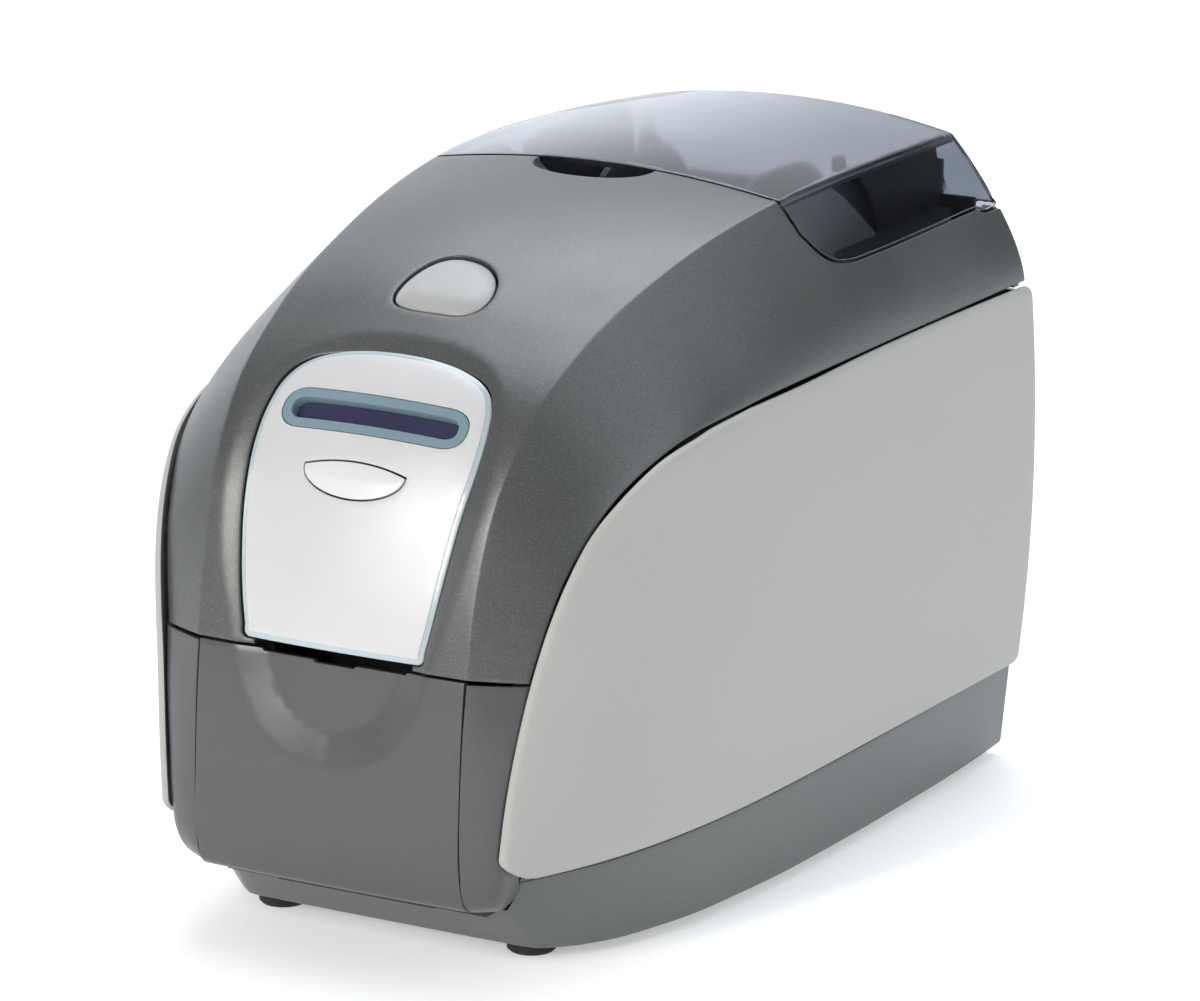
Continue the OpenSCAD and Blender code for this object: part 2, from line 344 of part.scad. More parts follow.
module ribbon_motor() color([0.25, 0.25, 0.26]) difference() {
  union() { rod(y_pn, z_tu, 48, 74, 12); rod(y_pn, z_tu, 46.1, 48.1, 4.9); }
  rod(y_pn, z_tu, 40, 64, 1.55);
}
module main_board() color([0.1, 0.35, 0.18]) difference() {
  box([-44, -40, 24], [44, 140, 25.6]);
  for (x = [-38, 38], y = [-34, 134]) translate([x, y, 20]) cylinder(h = 10, r = 1.6, $fn = 24);
}
module board_parts() color([0.08, 0.08, 0.09]) {
  box([-34, 0, 25.6], [-8, 26, 28.4]); box([4, 6, 25.6], [22, 24, 28]); box([-40, 50, 25.6], [-26, 64, 28]);
  box([22, -30, 25.6], [31, -22, 34]); box([-30, 128, 25.6], [-6, 136, 34]);
  for (y = [60, 76, 92]) translate([34, y, 25.6]) cylinder(h = 14, r = 5.5, $fn = 32);
  for (x = [-38, 38], y = [-34, 134]) translate([x, y, 6.5]) difference() { cylinder(h = 17.5, r = 3.5, $fn = 32); translate([0, 0, 6]) cylinder(h = 13, r = 1.5, $fn = 24); }
}
module power_socket() color([0.06, 0.06, 0.06]) difference() {
  union() { box([0.2, 146, 46.2], [21.8, 163, 65.8]); box([-2, 162.6, 44], [24, 164.2, 68]); }
  translate([11, 170, 56]) rotate([90, 0, 0]) cylinder(h = 18, r = 5.6, $fn = 48);
}
module usb_socket() color([0.7, 0.7, 0.72]) difference() {
  union() { box([-29.8, 147, 46.2], [-16.2, 163, 57.8]); box([-31.4, 162.6, 44.6], [-14.6, 163.8, 59.4]); }
  box([-27.8, 152, 48.2], [-18.2, 168, 55.8]);
}
module switch_frame() color([0.06, 0.06, 0.06]) difference() {
  union() { box([36.2, 153, 46.2], [63.8, 163, 67.8]); box([34, 162.6, 44], [66, 164.4, 70]); }
  box([39.4, 155, 49.4], [60.6, 168, 64.6]);
  rod(rk_y, rk_z, 38, 62, 1.25);
}
rk_y = 160.6; rk_z = 57;
module power_rocker() color([0.15, 0.15, 0.15]) {
  yz(-10.2 + 50, 10.2 + 50) translate([rk_y, rk_z]) polygon([[-3, -6.2], [3.2, -6.6], [5.2, -6.4], [3.2, 0], [2.4, 6.4], [-3, 6.2]]);
  rod(rk_y, rk_z, 38.2, 61.8, 1.2);
}

// ================= hinge of the cover =================
ch_y = 150; ch_z = 186; lh_y = 151.6; lh_z = 212.4;
module hinge_brackets() color([0.72, 0.73, 0.74]) both() difference() {
  union() { yz(62, 65) polygon([[140, 130], [153, 130], [154.5, 186], [145.5, 186], [140, 160]]); rod(ch_y, ch_z, 62, 65, 4.6); box([48, 138, 128], [62.5, 140.6, 140]); box([62, 138, 128], [65, 160.4, 134]); }
  rod(ch_y, ch_z, 60, 67, pin_r);
}
module cover_hinge_rail() color([0.36, 0.38, 0.39]) difference() {
  union() {
    yz(-91, 91) polygon([[154.6, 178.4], [158.6, 178.4], [158.6, 190], [157, 206.6], [154.6, 206.6]]);
    both() { yz(70, 75) polygon([[146, 184], [154, 184], [156, 192], [156, 203], [146, 192]]); rod(ch_y, ch_z, 70, 75, 4.6); }
    both() { rod(lh_y, lh_z, 52, 56, 3.4); yz(52, 56) polygon([[148.7, 212], [149.8, 198], [155, 196], [155, 206], [155.3, 211.6]]); }
  }
  both() { box([60.6, 150, 170], [66.4, 162, 192]); rod(ch_y, ch_z, 68, 78, pin_r + 0.05); rod(lh_y, lh_z, 50, 58, 1.5); }
  both() translate([0, 170, 0]) rotate([90, 0, 0]) linear_extrude(30) polygon([[86, 206.8], [99, 206.8], [99, 178], [90.8, 178], [90.2, 184], [87.4, 196], [82, 206.8]]);
}
module lid_hinge_pins() color([0.78, 0.78, 0.8]) both() rod(lh_y, lh_z, 52, 63, 1.5);
module lid_hinge_arms() color([0.3, 0.32, 0.36]) both() difference() {
  union() { rod(lh_y, lh_z, 57, 61.5, 3.4); yz(57, 61.5) polygon([[149, 213], [153.4, 210], [153.4, 222], [149, 219]]); }
  rod(lh_y, lh_z, 56, 62.5, 1.55);
}

// ================= cover =================
module rib_web(s, x) hull() for (q = [[s - 8, -1.6], [s + 8, -1.6], [s, -6]]) translate(rib(q[0], x, q[1])) sphere(0.9, $fn = 8);
module bead(s, x, t) hull() for (k = [0, 4]) translate(rib(s + k, x, -t / 2 - dish(s + k, x))) sphere(t / 4, $fn = 8);
module top_cover() color([0.34, 0.37, 0.38]) difference() {
  union() {
    casing(cover_wall, s_seam, s_end, 40);
    for (x = [-44, -22, 22, 44], s = [246, 284]) rib_web(s, x);
  }
  lid_zone(0);
  box([-100, 145, 206.6], [100, 175, 216]);
  at_release() translate([0, 0, -12]) linear_extrude(30) polygon(egg(release_w + button_play, release_l + button_play));
  intersection() { skin2(fas_rows(0.6, 8, 20), fas_rows(0.6, -12, 20)); box([-60, -190, 107], [60, -60, 230]); }
  box([-31, -170, 100], [31, -150, 108.6]);
  // scooped finger notch at the lid edge
  translate([-2.5, 23, 246]) scale([1, 0.72, 0.62]) sphere(24, $fn = 64);
}
module smoke_lid() color([0.3, 0.33, 0.4, 0.5]) difference() {
  union() {
  difference() {
    intersection() { casing(lid_wall, 300, s_end, 26); lid_zone(seam_gap); }
    box([-100, 155.4, 190], [100, 180, 250]);
  }
  intersection() {
    translate([0, 156, 0]) rotate([90, 0, 0]) linear_extrude(lid_wall + 0.6)
      polygon([for (p = crow(s_end - 0.6)) [p[0], p[2]]]);
    lid_zone(seam_gap);
  }
  for (x = [-40, -20, 20, 40], s = [350, 400]) bead(s, x, lid_wall);
  }
  both() box([51.2, 150, 205], [56.8, 160, 217]);
}
module cover_side_brackets() color([0.3, 0.31, 0.32]) both() difference() {
  yz(41, 44) polygon([[-118, 171], [-106, 171], [-104, 192], [-84, 203], [-44, 208], [-26, 156], [-22, 141], [-10, 141], [-8.5, 150], [-8.5, 232],
    [-11.7, 231.4], [-21.6, 229.6], [-31.4, 227.5], [-50.8, 222.3], [-70, 216.3], [-83.9, 210.8], [-100.8, 202.1], [-109, 197], [-118, 182]]);
  rod(lv_y, lv_z, 40, 45, 3.05);
  rod(hc_y, hc_z, 40, 45, 2.55);
}
module fascia_surround() color([0.62, 0.72, 0.78]) difference() {
  skin2(fas_rows(0, -1.5, 20), fas_rows(0, -3.6, 20));
  at_display() translate([0, 0, -10]) linear_extrude(30) slot2d(36.1, 7.6);
  at_select() translate([0, 0, -12]) linear_extrude(30) moon2d(0.6);
  for (i = [0:7]) hull() { translate([0, 0, -50 - i]) sphere(0.1, $fn = 6); translate([1, 0, -50 - i]) sphere(0.1, $fn = 6); }
}
module fascia_panel() color([0.86, 0.86, 0.87]) difference() {
  skin2(fas_rows(-1.5, -0.3, 20), fas_rows(-1.5, -1.35, 20));
  at_display() translate([0, 0, -10]) linear_extrude(30) slot2d(36.1, 7.6);
  at_select() translate([0, 0, -12]) linear_extrude(30) moon2d(0.6);
  for (i = [0:7]) hull() { translate([0, 0, -50 - i]) sphere(0.1, $fn = 6); translate([1, 0, -50 - i]) sphere(0.1, $fn = 6); }
}
module display_ring() color([0.45, 0.57, 0.62]) at_display() translate([0, 0, -5]) linear_extrude(5.6) difference() { slot2d(35.9, 7.4); slot2d(32.4, 3.9); }
module display_window() color([0.2, 0.2, 0.35]) at_display() translate([0, 0, -5]) linear_extrude(3) slot2d(32.2, 3.7);
module display_module() color([0.15, 0.16, 0.2]) at_display() translate([-31, -7, -10]) cube([62, 14, 5]);
module control_board() color([0.1, 0.35, 0.18]) at_display() translate([-35, -30, -12.4]) cube([70, 44, 1.6]);
module select_button() color([0.82, 0.83, 0.84]) at_select() { translate([0, 0, -4.4]) linear_extrude(5.2) moon2d(0); translate([0, 0, -5.6]) cylinder(h = 3, r = 2.5, $fn = 32); }
module release_button() color([0.7, 0.69, 0.67]) at_release() {
  translate([0, 0, -7]) linear_extrude(8) polygon(egg(release_w, release_l));
  translate([0, 0, -16]) cylinder(h = 9.5, r = 4, $fn = 32);
}
lv_y = -112; lv_z = 176;
module latch_lever() color([0.15, 0.15, 0.16]) {
  rod(lv_y, lv_z, -43.9, 43.9, 3);
  both() yz(37, 40) polygon([[-115.4, 176], [-109, 176], [-110.5, 150], [-113.8, 134], [-113.8, 127.5], [-112.8, 125.2], [-112.8, 121], [-117, 119], [-119.4, 124], [-119.4, 136]]);
  yz(-5, 5) polygon([[-114.5, 174.5], [-110, 173], [-70, 197.4], [-70.5, 200.4], [-76, 200.6], [-112, 179]]);
}
hc_y = -16; hc_z = 146;
module head_carrier() color([0.16, 0.16, 0.17]) {
  rod(hc_y, hc_z, -43.9, 43.9, 2.5);
  both() yz(34, 37) polygon([[-12, 143], [-12, 149.5], [-20, 151], [-56, 141], [-56, 128], [-36, 128], [-20, 142.5]]);
  box([-37, -56, 138], [37, -34, 140.4]);
}
module thermal_printhead() color([0.75, 0.72, 0.62]) yz(-31, 31) polygon([[-50, 127.6], [-40, 127.6], [-40, 121], [-44, path_z + card_t + 0.5], [-46, path_z + card_t + 0.5], [-50, 122]]);
module heat_sink() color([0.7, 0.71, 0.73]) { box([-31, -54, 127.6], [31, -36, 130]); for (i = [0:9]) box([-30 + i * 6.5, -54, 129.9], [-28.4 + i * 6.5, -36, 138]); }

// ================= hopper door =================
function door_row(s) = [for (i = [-11:11]) let (x = 51.2 * i / 11) rib(s, x, -dish(s, x))];
door_s = [0, 4, 9, 14, 20, 27, 34, 41, 46, 51, 56, 61, 66, 71, 75, s_seam - 1];
door_lip = [[-150, 22.6], [-152.5, 22.9], [-154.8, 23.8], [-156.8, 25.2]];
module front_door() color([0.36, 0.37, 0.38]) difference() {
  union() {
    skin(concat([for (p = door_lip) [for (i = [-11:11]) [51.2 * i / 11, p[0] - (1 - (i / 11)^2) * 0.8, p[1]]]], [for (s = door_s) door_row(s)]), cover_wall);
    for (x = [-46, -42, 42, 46], z = [30, 60]) bead(z, x, cover_wall);
  }
  box([-27.5, -170, 102.6], [27.5, -150, 110]);
}
module door_hinge_ears() color([0.3, 0.31, 0.32]) both() difference() {
  union() { rod(dy0, dz0, 45, 49, 2.8); yz(45, 49) polygon([[-157.2, 29], [-158.8, 42], [-157, 42], [-149, 31], [-150, 27.6]]); }
  rod(dy0, dz0, 44, 50, dpin + 0.05);
}
// ================= feeder pieces =================
module card_weight() color([0.13, 0.13, 0.14]) { box([-cas_x + 0.8, cas_y0 + 1, path_z + 0.6], [cas_x - 0.8, cas_y1 - 1, path_z + 4]); box([-5, cas_y1 - 12, path_z + 4], [5, cas_y1 - 1, path_z + 26]); }
module gate_lever() color([0.2, 0.45, 0.6]) { box([-4, 38.6, 124], [4, 41.2, 168]); box([-7, 36, 160], [7, 39, 168]); }
module frame_screws() color([0.8, 0.8, 0.82]) {
  for (x = [-82, 82], z = [46, 168]) translate([x, 164, z]) rotate([90, 0, 0]) { cylinder(h = 1.4, r = 3, $fn = 24); cylinder(h = 7, r = 1.5, $fn = 24); }
  for (x = [-38, 38], y = [-34, 134]) translate([x, y, 16]) { cylinder(h = 10, r = 1.4, $fn = 24); translate([0, 0, 9.6]) cylinder(h = 1.6, r = 3, $fn = 24); }
}

base_tray();
rubber_feet();
left_side_panel();
right_side_panel();
left_corner_bezel();
right_corner_bezel();
rear_panel();
left_frame();
right_frame();
card_deck();
output_hopper();
card_cassette();
feeder_guides();
shaft_bushes();
drive_motor();
drive_belt();
feed_belt();
ribbon_motor();
main_board();
board_parts();
power_socket();
usb_socket();
switch_frame();
hinge_brackets();
casing_pins();
panel_posts();
frame_screws();
top_cover();
cover_side_brackets();
cover_hinge_rail();
lid_hinge_pins();
fascia_surround();
fascia_panel();
display_ring();
display_window();
display_module();
control_board();
smoke_lid();
lid_hinge_arms();
release_button();
latch_lever();
select_button();
head_carrier();
thermal_printhead();
heat_sink();
front_door();
door_hinge_ears();
power_rocker();
card_weight();
gate_lever();
motor_pulley();
platen_roller();
input_roller();
exit_roller();
feed_roller();
input_pinch_roller();
exit_pinch_roller();
supply_spindle();
take_up_spindle();
ribbon_pinion();
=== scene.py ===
import json
import math

import bmesh
import bpy
import numpy as np
from mathutils import Matrix, Vector
from mathutils.geometry import delaunay_2d_cdt


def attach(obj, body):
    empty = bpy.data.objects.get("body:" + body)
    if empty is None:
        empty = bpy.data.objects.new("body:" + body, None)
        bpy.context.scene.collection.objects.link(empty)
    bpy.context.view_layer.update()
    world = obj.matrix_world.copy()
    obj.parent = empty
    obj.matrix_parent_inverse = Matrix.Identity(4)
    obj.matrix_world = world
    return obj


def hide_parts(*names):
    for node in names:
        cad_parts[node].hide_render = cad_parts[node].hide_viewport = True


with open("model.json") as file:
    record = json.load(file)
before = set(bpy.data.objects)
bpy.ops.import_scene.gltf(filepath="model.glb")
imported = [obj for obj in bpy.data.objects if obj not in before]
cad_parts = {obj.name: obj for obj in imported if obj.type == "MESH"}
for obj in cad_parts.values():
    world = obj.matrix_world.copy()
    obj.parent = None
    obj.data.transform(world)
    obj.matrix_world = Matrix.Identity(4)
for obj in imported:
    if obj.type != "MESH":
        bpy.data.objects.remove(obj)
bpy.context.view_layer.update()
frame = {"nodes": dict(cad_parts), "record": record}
NODES = frame["nodes"]
MM = 0.001
rad = math.radians
scene = bpy.context.scene

# =====================================================================
#  curves and surfaces of the casing, in millimetres
# =====================================================================


class Curve:
    """Smooth curve through points P at parameters T."""

    def __init__(self, T, P):
        self.T = np.array(T, float)
        P = np.array(P, float)
        self.flat = P.ndim == 1
        self.P = P[:, None] if self.flat else P
        h = np.diff(self.T)
        D = np.diff(self.P, axis=0) / h[:, None]
        G = np.empty_like(self.P)
        G[0], G[-1] = D[0], D[-1]
        for i in range(1, len(self.T) - 1):
            G[i] = (D[i - 1] * h[i] + D[i] * h[i - 1]) / (h[i - 1] + h[i])
        self.G = G

    def __call__(self, t):
        t = np.clip(np.asarray(t, float), self.T[0], self.T[-1])
        i = np.clip(np.searchsorted(self.T, t, side="right") - 1, 0, len(self.T) - 2)
        h = self.T[i + 1] - self.T[i]
        u = ((t - self.T[i]) / h)[..., None]
        h = h[..., None]
        out = ((2 * u**3 - 3 * u**2 + 1) * self.P[i] + (u**3 - 2 * u**2 + u) * h * self.G[i]
               + (3 * u**2 - 2 * u**3) * self.P[i + 1] + (u**3 - u**2) * h * self.G[i + 1])
        return out[..., 0] if self.flat else out


def chord(P):
    P = np.array(P, float)
    return np.concatenate([[0], np.cumsum(np.linalg.norm(np.diff(P, axis=0), axis=1))])


def through(P, step):
    """Points every step along a smooth curve through P."""
    T = chord(P)
    return Curve(T, P)(np.linspace(0, T[-1], max(2, int(math.ceil(T[-1] / step)) + 1)))


def smooth(a, b, v):
    u = np.clip((v - a) / (b - a), 0, 1)
    return u * u * (3 - 2 * u)


def solve(f, lo, hi, n=34):
    """Where f, rising from lo to hi, is zero."""
    lo, hi = np.array(lo, float), np.array(hi, float)
    for _ in range(n):
        m = (lo + hi) / 2
        up = f(m) > 0
        hi = np.where(up, m, hi)
        lo = np.where(up, lo, m)
    return (lo + hi) / 2


# ribbon up the front and over the top: half width, depth, height, crown
ridge = [[52, -158.5, 27, 1], [52, -161.5, 40, 1.2], [52.2, -161, 65, 1.4], [52.5, -159.5, 86, 1.5],
         [52.8, -157, 107, 1.5], [53.2, -152, 134, 1.8], [54.5, -143, 160, 2.4], [57, -125.5, 185, 3.2],
         [60, -91, 207.5, 4.4], [64, -44, 223.5, 5.4], [68.8, 18, 234, 6], [70.4, 55, 235.8, 6],
         [69.6, 92, 235.3, 6], [67.3, 127, 233.8, 6.3], [64.4, 156, 232, 6.7]]
rs = chord([[p[1], p[2]] for p in ridge])
RDG = Curve(rs, ridge)
s_end = rs[-1]
s_seam = rs[4] - 0.6


def rnorm(s):
    c = np.clip(s, 0.6, s_end - 0.6)
    d = RDG(c + 0.5)[..., 1:3] - RDG(c - 0.5)[..., 1:3]
    d = d / np.linalg.norm(d, axis=-1, keepdims=True)
    return np.stack([-d[..., 1], d[..., 0]], -1)


def rib(s, x, h=0.0):
    s, x = np.broadcast_arrays(np.asarray(s, float), np.asarray(x, float))
    c, n = RDG(s), rnorm(s)
    q = np.minimum(np.abs(x) / c[..., 0], 1)
    b = c[..., 3] * (1 - q * q) + h
    return np.stack([x, c[..., 1] + n[..., 0] * b, c[..., 2] + n[..., 1] * b], -1)


# dish round the fascia and on the door: outer and inner edge, right half, from the bottom up
dish_edge = [[0, 41.6], [15.4, 43.4], [24.9, 49], [31.3, 57.6], [36.3, 67], [38.9, 78], [41.6, 88], [45.2, 101],
             [48.2, 114], [50.2, 128], [51.2, 142], [51, 154], [48.6, 166], [44, 176.5], [35.5, 186], [22, 192.2], [0, 195]]
dish_floor = [[0, 53.8], [9.9, 57], [18.2, 63], [23.6, 72], [26.4, 80], [30, 93], [34, 106], [36.8, 119], [38.6, 132],
              [39.6, 146], [38.6, 158], [35.5, 168], [29, 177], [18, 182.6], [0, 184.6]]
DISH = 3.0


def half_loop(P, step):
    """A closed loop, symmetric about x = 0, from its right half."""
    R = through(P, step)
    L = R[1:-1][::-1] * [-1, 1]
    return np.concatenate([R, L])


DO, DI = half_loop(dish_edge, 1.6), half_loop(dish_floor, 1.6)


def seg_dist(P, loop, closed=True):
    """Distance of each point of P to a polyline, any number of dimensions."""
    A = loop
    B = np.roll(loop, -1, axis=0) if closed else loop[1:]
    A = A if closed else loop[:-1]
    out = np.empty(len(P))
    d = B - A
    dd = np.maximum((d * d).sum(1), 1e-12)
    for i in range(0, len(P), 1500):
        v = P[i:i + 1500, None, :] - A[None]
        t = np.clip((v * d).sum(2) / dd, 0, 1)
        out[i:i + 1500] = np.sqrt(((v - t[..., None] * d) ** 2).sum(2).min(1))
    return out


def inside(P, loop):
    """True where a 2-D point is inside the loop."""
    x, y = P[:, 0], P[:, 1]
    c = np.zeros(len(P), bool)
    A, B = loop, np.roll(loop, -1, axis=0)
    for (x0, y0), (x1, y1) in zip(A, B):
        if y0 == y1:
            continue
        hit = (y0 > y) != (y1 > y)
        if hit.any():
            c ^= hit & (x < (x1 - x0) * (y - y0) / (y1 - y0) + x0)
    return c


def dish(s, x):
    shape = np.shape(s)
    P = np.stack([np.abs(np.asarray(x, float)).ravel(), np.asarray(s, float).ravel()], -1)
    near = (P[:, 0] < 53) & (P[:, 1] > 40) & (P[:, 1] < 197)
    out = np.zeros(len(P))
    if near.any():
        Q = P[near]
        a, b = inside(Q, DO), inside(Q, DI)
        do, di = seg_dist(Q, DO), seg_dist(Q, DI)
        f = np.where(b, 1.0, np.where(a, do / np.maximum(do + di, 1e-9), 0.0))
        # slightly rounded at the rim, crisp at the floor
        f = np.where(f < 0.16, f * f / 0.32, f - 0.08) / 0.92
        out[near] = DISH * f
    return out.reshape(shape)


edge_p = [[71.4, -147.3, 106, 1.15], [75.2, -142, 125, 1.15], [78.6, -135.7, 140.2, 1.2], [84.4, -119.8, 159.6, 1.25],
          [90.5, -88.4, 174.4, 1.35], [93.2, -42.2, 179, 1.5], [94.1, 20, 180.4, 1.575], [94.2, 55, 180.7, 1.575],
          [94.2, 92, 180.8, 1.575], [94.1, 127, 180.8, 1.575], [93.7, 158, 180.6, 1.575]]
EDGE = Curve(rs[4:], edge_p)


def cedge(s):
    s = np.asarray(s, float)
    return EDGE(s) + np.minimum(s - rs[4], 0)[..., None] * np.array([-0.19, -0.28, 1, 0])


def side(s, t):
    s, t = np.broadcast_arrays(np.asarray(s, float), np.asarray(t, float))
    c, e = RDG(s), cedge(s)
    g = 1 - (1 - np.clip(t, 0, 1)) ** e[..., 3]
    return np.stack([c[..., 0] + (e[..., 0] - c[..., 0]) * g, c[..., 1] + (e[..., 1] - c[..., 1]) * t,
                     c[..., 2] + (e[..., 2] - c[..., 2]) * t], -1)


_sg = np.linspace(s_seam - 1, s_end, 500)
_q = side(_sg[:, None], np.linspace(0, 1, 24)[None])
_len = np.linalg.norm(np.diff(_q, axis=1), axis=2).sum(1)


def slen(s):
    return np.interp(s, _sg, _len)


def casing(P, dd=True):
    """Cover surface: P is (u, s), u the way across from the middle."""
    u, s = P[:, 0], P[:, 1]
    w = RDG(s)[:, 0]
    a = np.abs(u)
    t = np.clip((a - w) / slen(s), 0, 1)
    out = side(s, t)
    out[:, 0] *= np.sign(u) + (u == 0)
    m = a <= w
    if m.any():
        out[m] = rib(s[m], u[m], -dish(s[m], u[m]) if dd else 0.0)
    return out


# lower edge of the lid, seen from the side
lid_line = [[19.8, 236], [22, 223], [28.5, 215], [33.5, 212], [42, 210.2], [55, 209.7], [100, 209.6], [130, 209.5], [139, 209.2],
            [145, 207.2], [158, 206.6]]


def lid_u(s, t):
    return RDG(s)[..., 0] + t * slen(s)


def on_side(y, z):
    """(u, s) of the point of the casing's side that is at y, z."""
    S = np.linspace(rs[9], s_end, 700)
    c, e = RDG(S)[:, 1:3], cedge(S)[:, 1:3]
    q = np.array([y, z])
    F = (c[:, 0] - q[0]) * (e[:, 1] - q[1]) - (c[:, 1] - q[1]) * (e[:, 0] - q[0])
    k = np.where(np.sign(F[:-1]) != np.sign(F[1:]))[0]
    if not len(k):
        k = np.array([len(S) - 2 if abs(F[-1]) < abs(F[0]) else 0])
        s = S[-1] if abs(F[-1]) < abs(F[0]) else S[0]
    else:
        k = k[:1]
        s = S[k[0]] + (S[k[0] + 1] - S[k[0]]) * F[k[0]] / (F[k[0]] - F[k[0] + 1])
    c, e = RDG(s)[1:3], cedge(s)[1:3]
    t = np.dot(q - c, e - c) / np.dot(e - c, e - c)
    return [float(lid_u(s, np.clip(t, 0, 1))), float(s)]


def lid_side(g, step=1.4):
    """Lower side edge of the lid zone, from the crease at the front to the back, in (u, s)."""
    P = [[p[0] + g, p[1] + g] for p in lid_line]
    front = P[0][0] + (P[1][0] - P[0][0]) * (P[0][1] - 234.15) / (P[0][1] - P[1][1])
    low = through([P[i] for i in range(1, 6)], step)
    head = np.stack([np.linspace(front, P[1][0], 9), np.linspace(234.15, P[1][1], 9)], -1)[:-1]
    tail = np.array([[55 + g + k, np.interp(55 + g + k, [p[0] for p in P], [p[1] for p in P])] for k in np.arange(step, 158 - 55 - g, step)])
    Q = [on_side(y, z) for y, z in np.concatenate([head, low, tail])]
    out = [q for q in Q if q[1] < s_end - 0.3]
    s0 = float(solve(lambda s: RDG(s)[..., 1] - front, rs[9], rs[11]))
    out[0] = [float(RDG(s0)[0]), s0]
    return np.array(out)


def lid_front(g, n=60):
    """Front edge of the lid zone across the ribbon, from the right crease to the left one."""
    e = lid_side(g)[0]
    X = np.linspace(e[0], -e[0], n)
    y = 19.8 + g + (e[1] * 0)
    yr = RDG(e[1])[1]
    tgt = y + (yr - y) * (X / e[0]) ** 8
    s = solve(lambda q: rib(q, X)[..., 1] - tgt, np.full(n, rs[9]), np.full(n, rs[11]))
    s[0] = s[-1] = e[1]
    return np.stack([X, s], -1)


# ---- frames of the pieces that sit in the ribbon ----
def seat(s0, h0):
    c = rib(s0, 0.0, h0)
    n = rnorm(np.array(s0))
    return c, np.array([0, n[1], -n[0]]), np.array([0, n[0], n[1]])


S_REL, S_SEL, S_DIS = 221.5, 139.0, 161.5
REL, SEL, DIS = seat(S_REL, 0.0), seat(S_SEL, -1.6), seat(S_DIS, -1.6)


def to_s(st, P, h):
    """Stations of local points (x, along) of a seat, on the surface raised by h(x)."""
    c, T, _ = st
    x, y = P[:, 0], P[:, 1]
    return solve(lambda s: (rib(s, x, h(x)) - c) @ T - y, np.full(len(P), 30.0), np.full(len(P), s_end))


# fascia outline, right half from the top down, then its surface
fas_half = [[0, 186.2], [13, 185.7], [25, 183.8], [33, 180.8], [37.4, 177.4], [40.6, 172], [42.6, 163], [43.3, 148], [42.3, 135],
            [40.7, 120], [39.2, 109], [37.4, 97.5], [35.9, 89.5], [35.2, 86.4]]


def fas_loop(g, step=1.5, r=2.2):
    """Closed outline (x, s), anticlockwise, raised outward by g."""
    R = through(fas_half, step)
    c = [33.0, 84.6]
    arc = [[c[0] + r * math.cos(a), c[1] + r * math.sin(a)] for a in np.radians([-12, -30, -48, -66, -84, -90])]
    R = np.concatenate([R, arc, [[x, c[1] - r] for x in np.linspace(31, 0, 22)]])
    L = R[1:-1][::-1] * [-1, 1]
    P = np.concatenate([R, L])[::-1]
    return offset(P, -g)


def fas_h(x):
    return -0.1 - 2.0 * (x / 42) ** 2


def offset(P, d):
    """A closed anticlockwise loop moved inward by d."""
    e = np.roll(P, -1, axis=0) - P
    e /= np.linalg.norm(e, axis=1, keepdims=True)
    n = np.stack([-e[:, 1], e[:, 0]], -1)
    m = n + np.roll(n, 1, axis=0)
    m /= np.maximum(np.linalg.norm(m, axis=1, keepdims=True), 1e-9)
    k = np.maximum((m * n).sum(1), 0.45)
    return P + m * (d / k)[:, None]


def pebble(g):
    """Outline of the release button, anticlockwise, raised outward by g."""
    P = [[-12.4, -14.4], [-15.6, -12.6], [-17.5, -8.8], [-17.9, -4], [-17.3, 2], [-15.9, 7.2], [-13.6, 11.6], [-10.4, 14.6], [-6.6, 16.1],
         [-1.8, 15.9], [3.9, 14.3], [9.4, 10.8], [13.7, 5.8], [16.3, 0.2], [17.3, -5.6], [16.3, -10.6], [13.3, -13.8], [9.2, -15.2],
         [3.9, -15.5], [-1.7, -15.5], [-7.4, -15.3]]
    L = through(P + P[:1], 1.2)[:-1][::-1]
    return offset(L, -g)


def moon(g, r=1.0):
    top = [[-(19.5 + g) * math.cos(a), 3.4 + g + 2.9 * math.sin(a)] for a in np.linspace(0, math.pi, 25)]
    top = [[(19.5 + g) * u, 3.3 + g + 2.8 * (1 - u * u)] for u in np.linspace(1, -1, 25)]
    low = [[-(19.5 + g) * math.cos(a), 3.2 - (9.5 + g) * math.sin(a)] for a in np.linspace(0.06, math.pi - 0.06, 33)]
    return np.array(top + low)


def slot(w, h, n=14, p=2.35):
    """Long rounded slot outline, anticlockwise."""
    out = []
    for sx, a0 in ((1, -90), (-1, 90)):
        for a in np.radians(np.linspace(a0, a0 + 180, n)):
            c, s = math.cos(a), math.sin(a)
            out.append([sx * (w - 1.25 * h) + 1.25 * h * math.copysign(abs(c) ** (2 / p), c), h * math.copysign(abs(s) ** (2 / p), s)])
    P = np.array(out)
    return dense(P, 1.6)


def dense(P, step):
    """Splits the long sides of a closed loop."""
    out = []
    for a, b in zip(P, np.roll(P, -1, axis=0)):
        n = max(1, int(math.ceil(np.linalg.norm(b - a) / step)))
        out += [a + (b - a) * k / n for k in range(n)]
    return np.array(out)


# =====================================================================
#  meshes
# =====================================================================


def mesh_object(name, V, F, angle=35):
    me = bpy.data.meshes.new(name)
    me.from_pydata((np.asarray(V) * MM).tolist(), [], [list(map(int, f)) for f in F])
    me.validate(verbose=False)
    bm = bmesh.new()
    bm.from_mesh(me)
    bmesh.ops.recalc_face_normals(bm, faces=bm.faces)
    bm.to_mesh(me)
    bm.free()
    me.update()
    me.shade_smooth()
    me.set_sharp_from_angle(angle=rad(angle))
    ob = bpy.data.objects.new(name, me)
    scene.collection.objects.link(ob)
    return ob


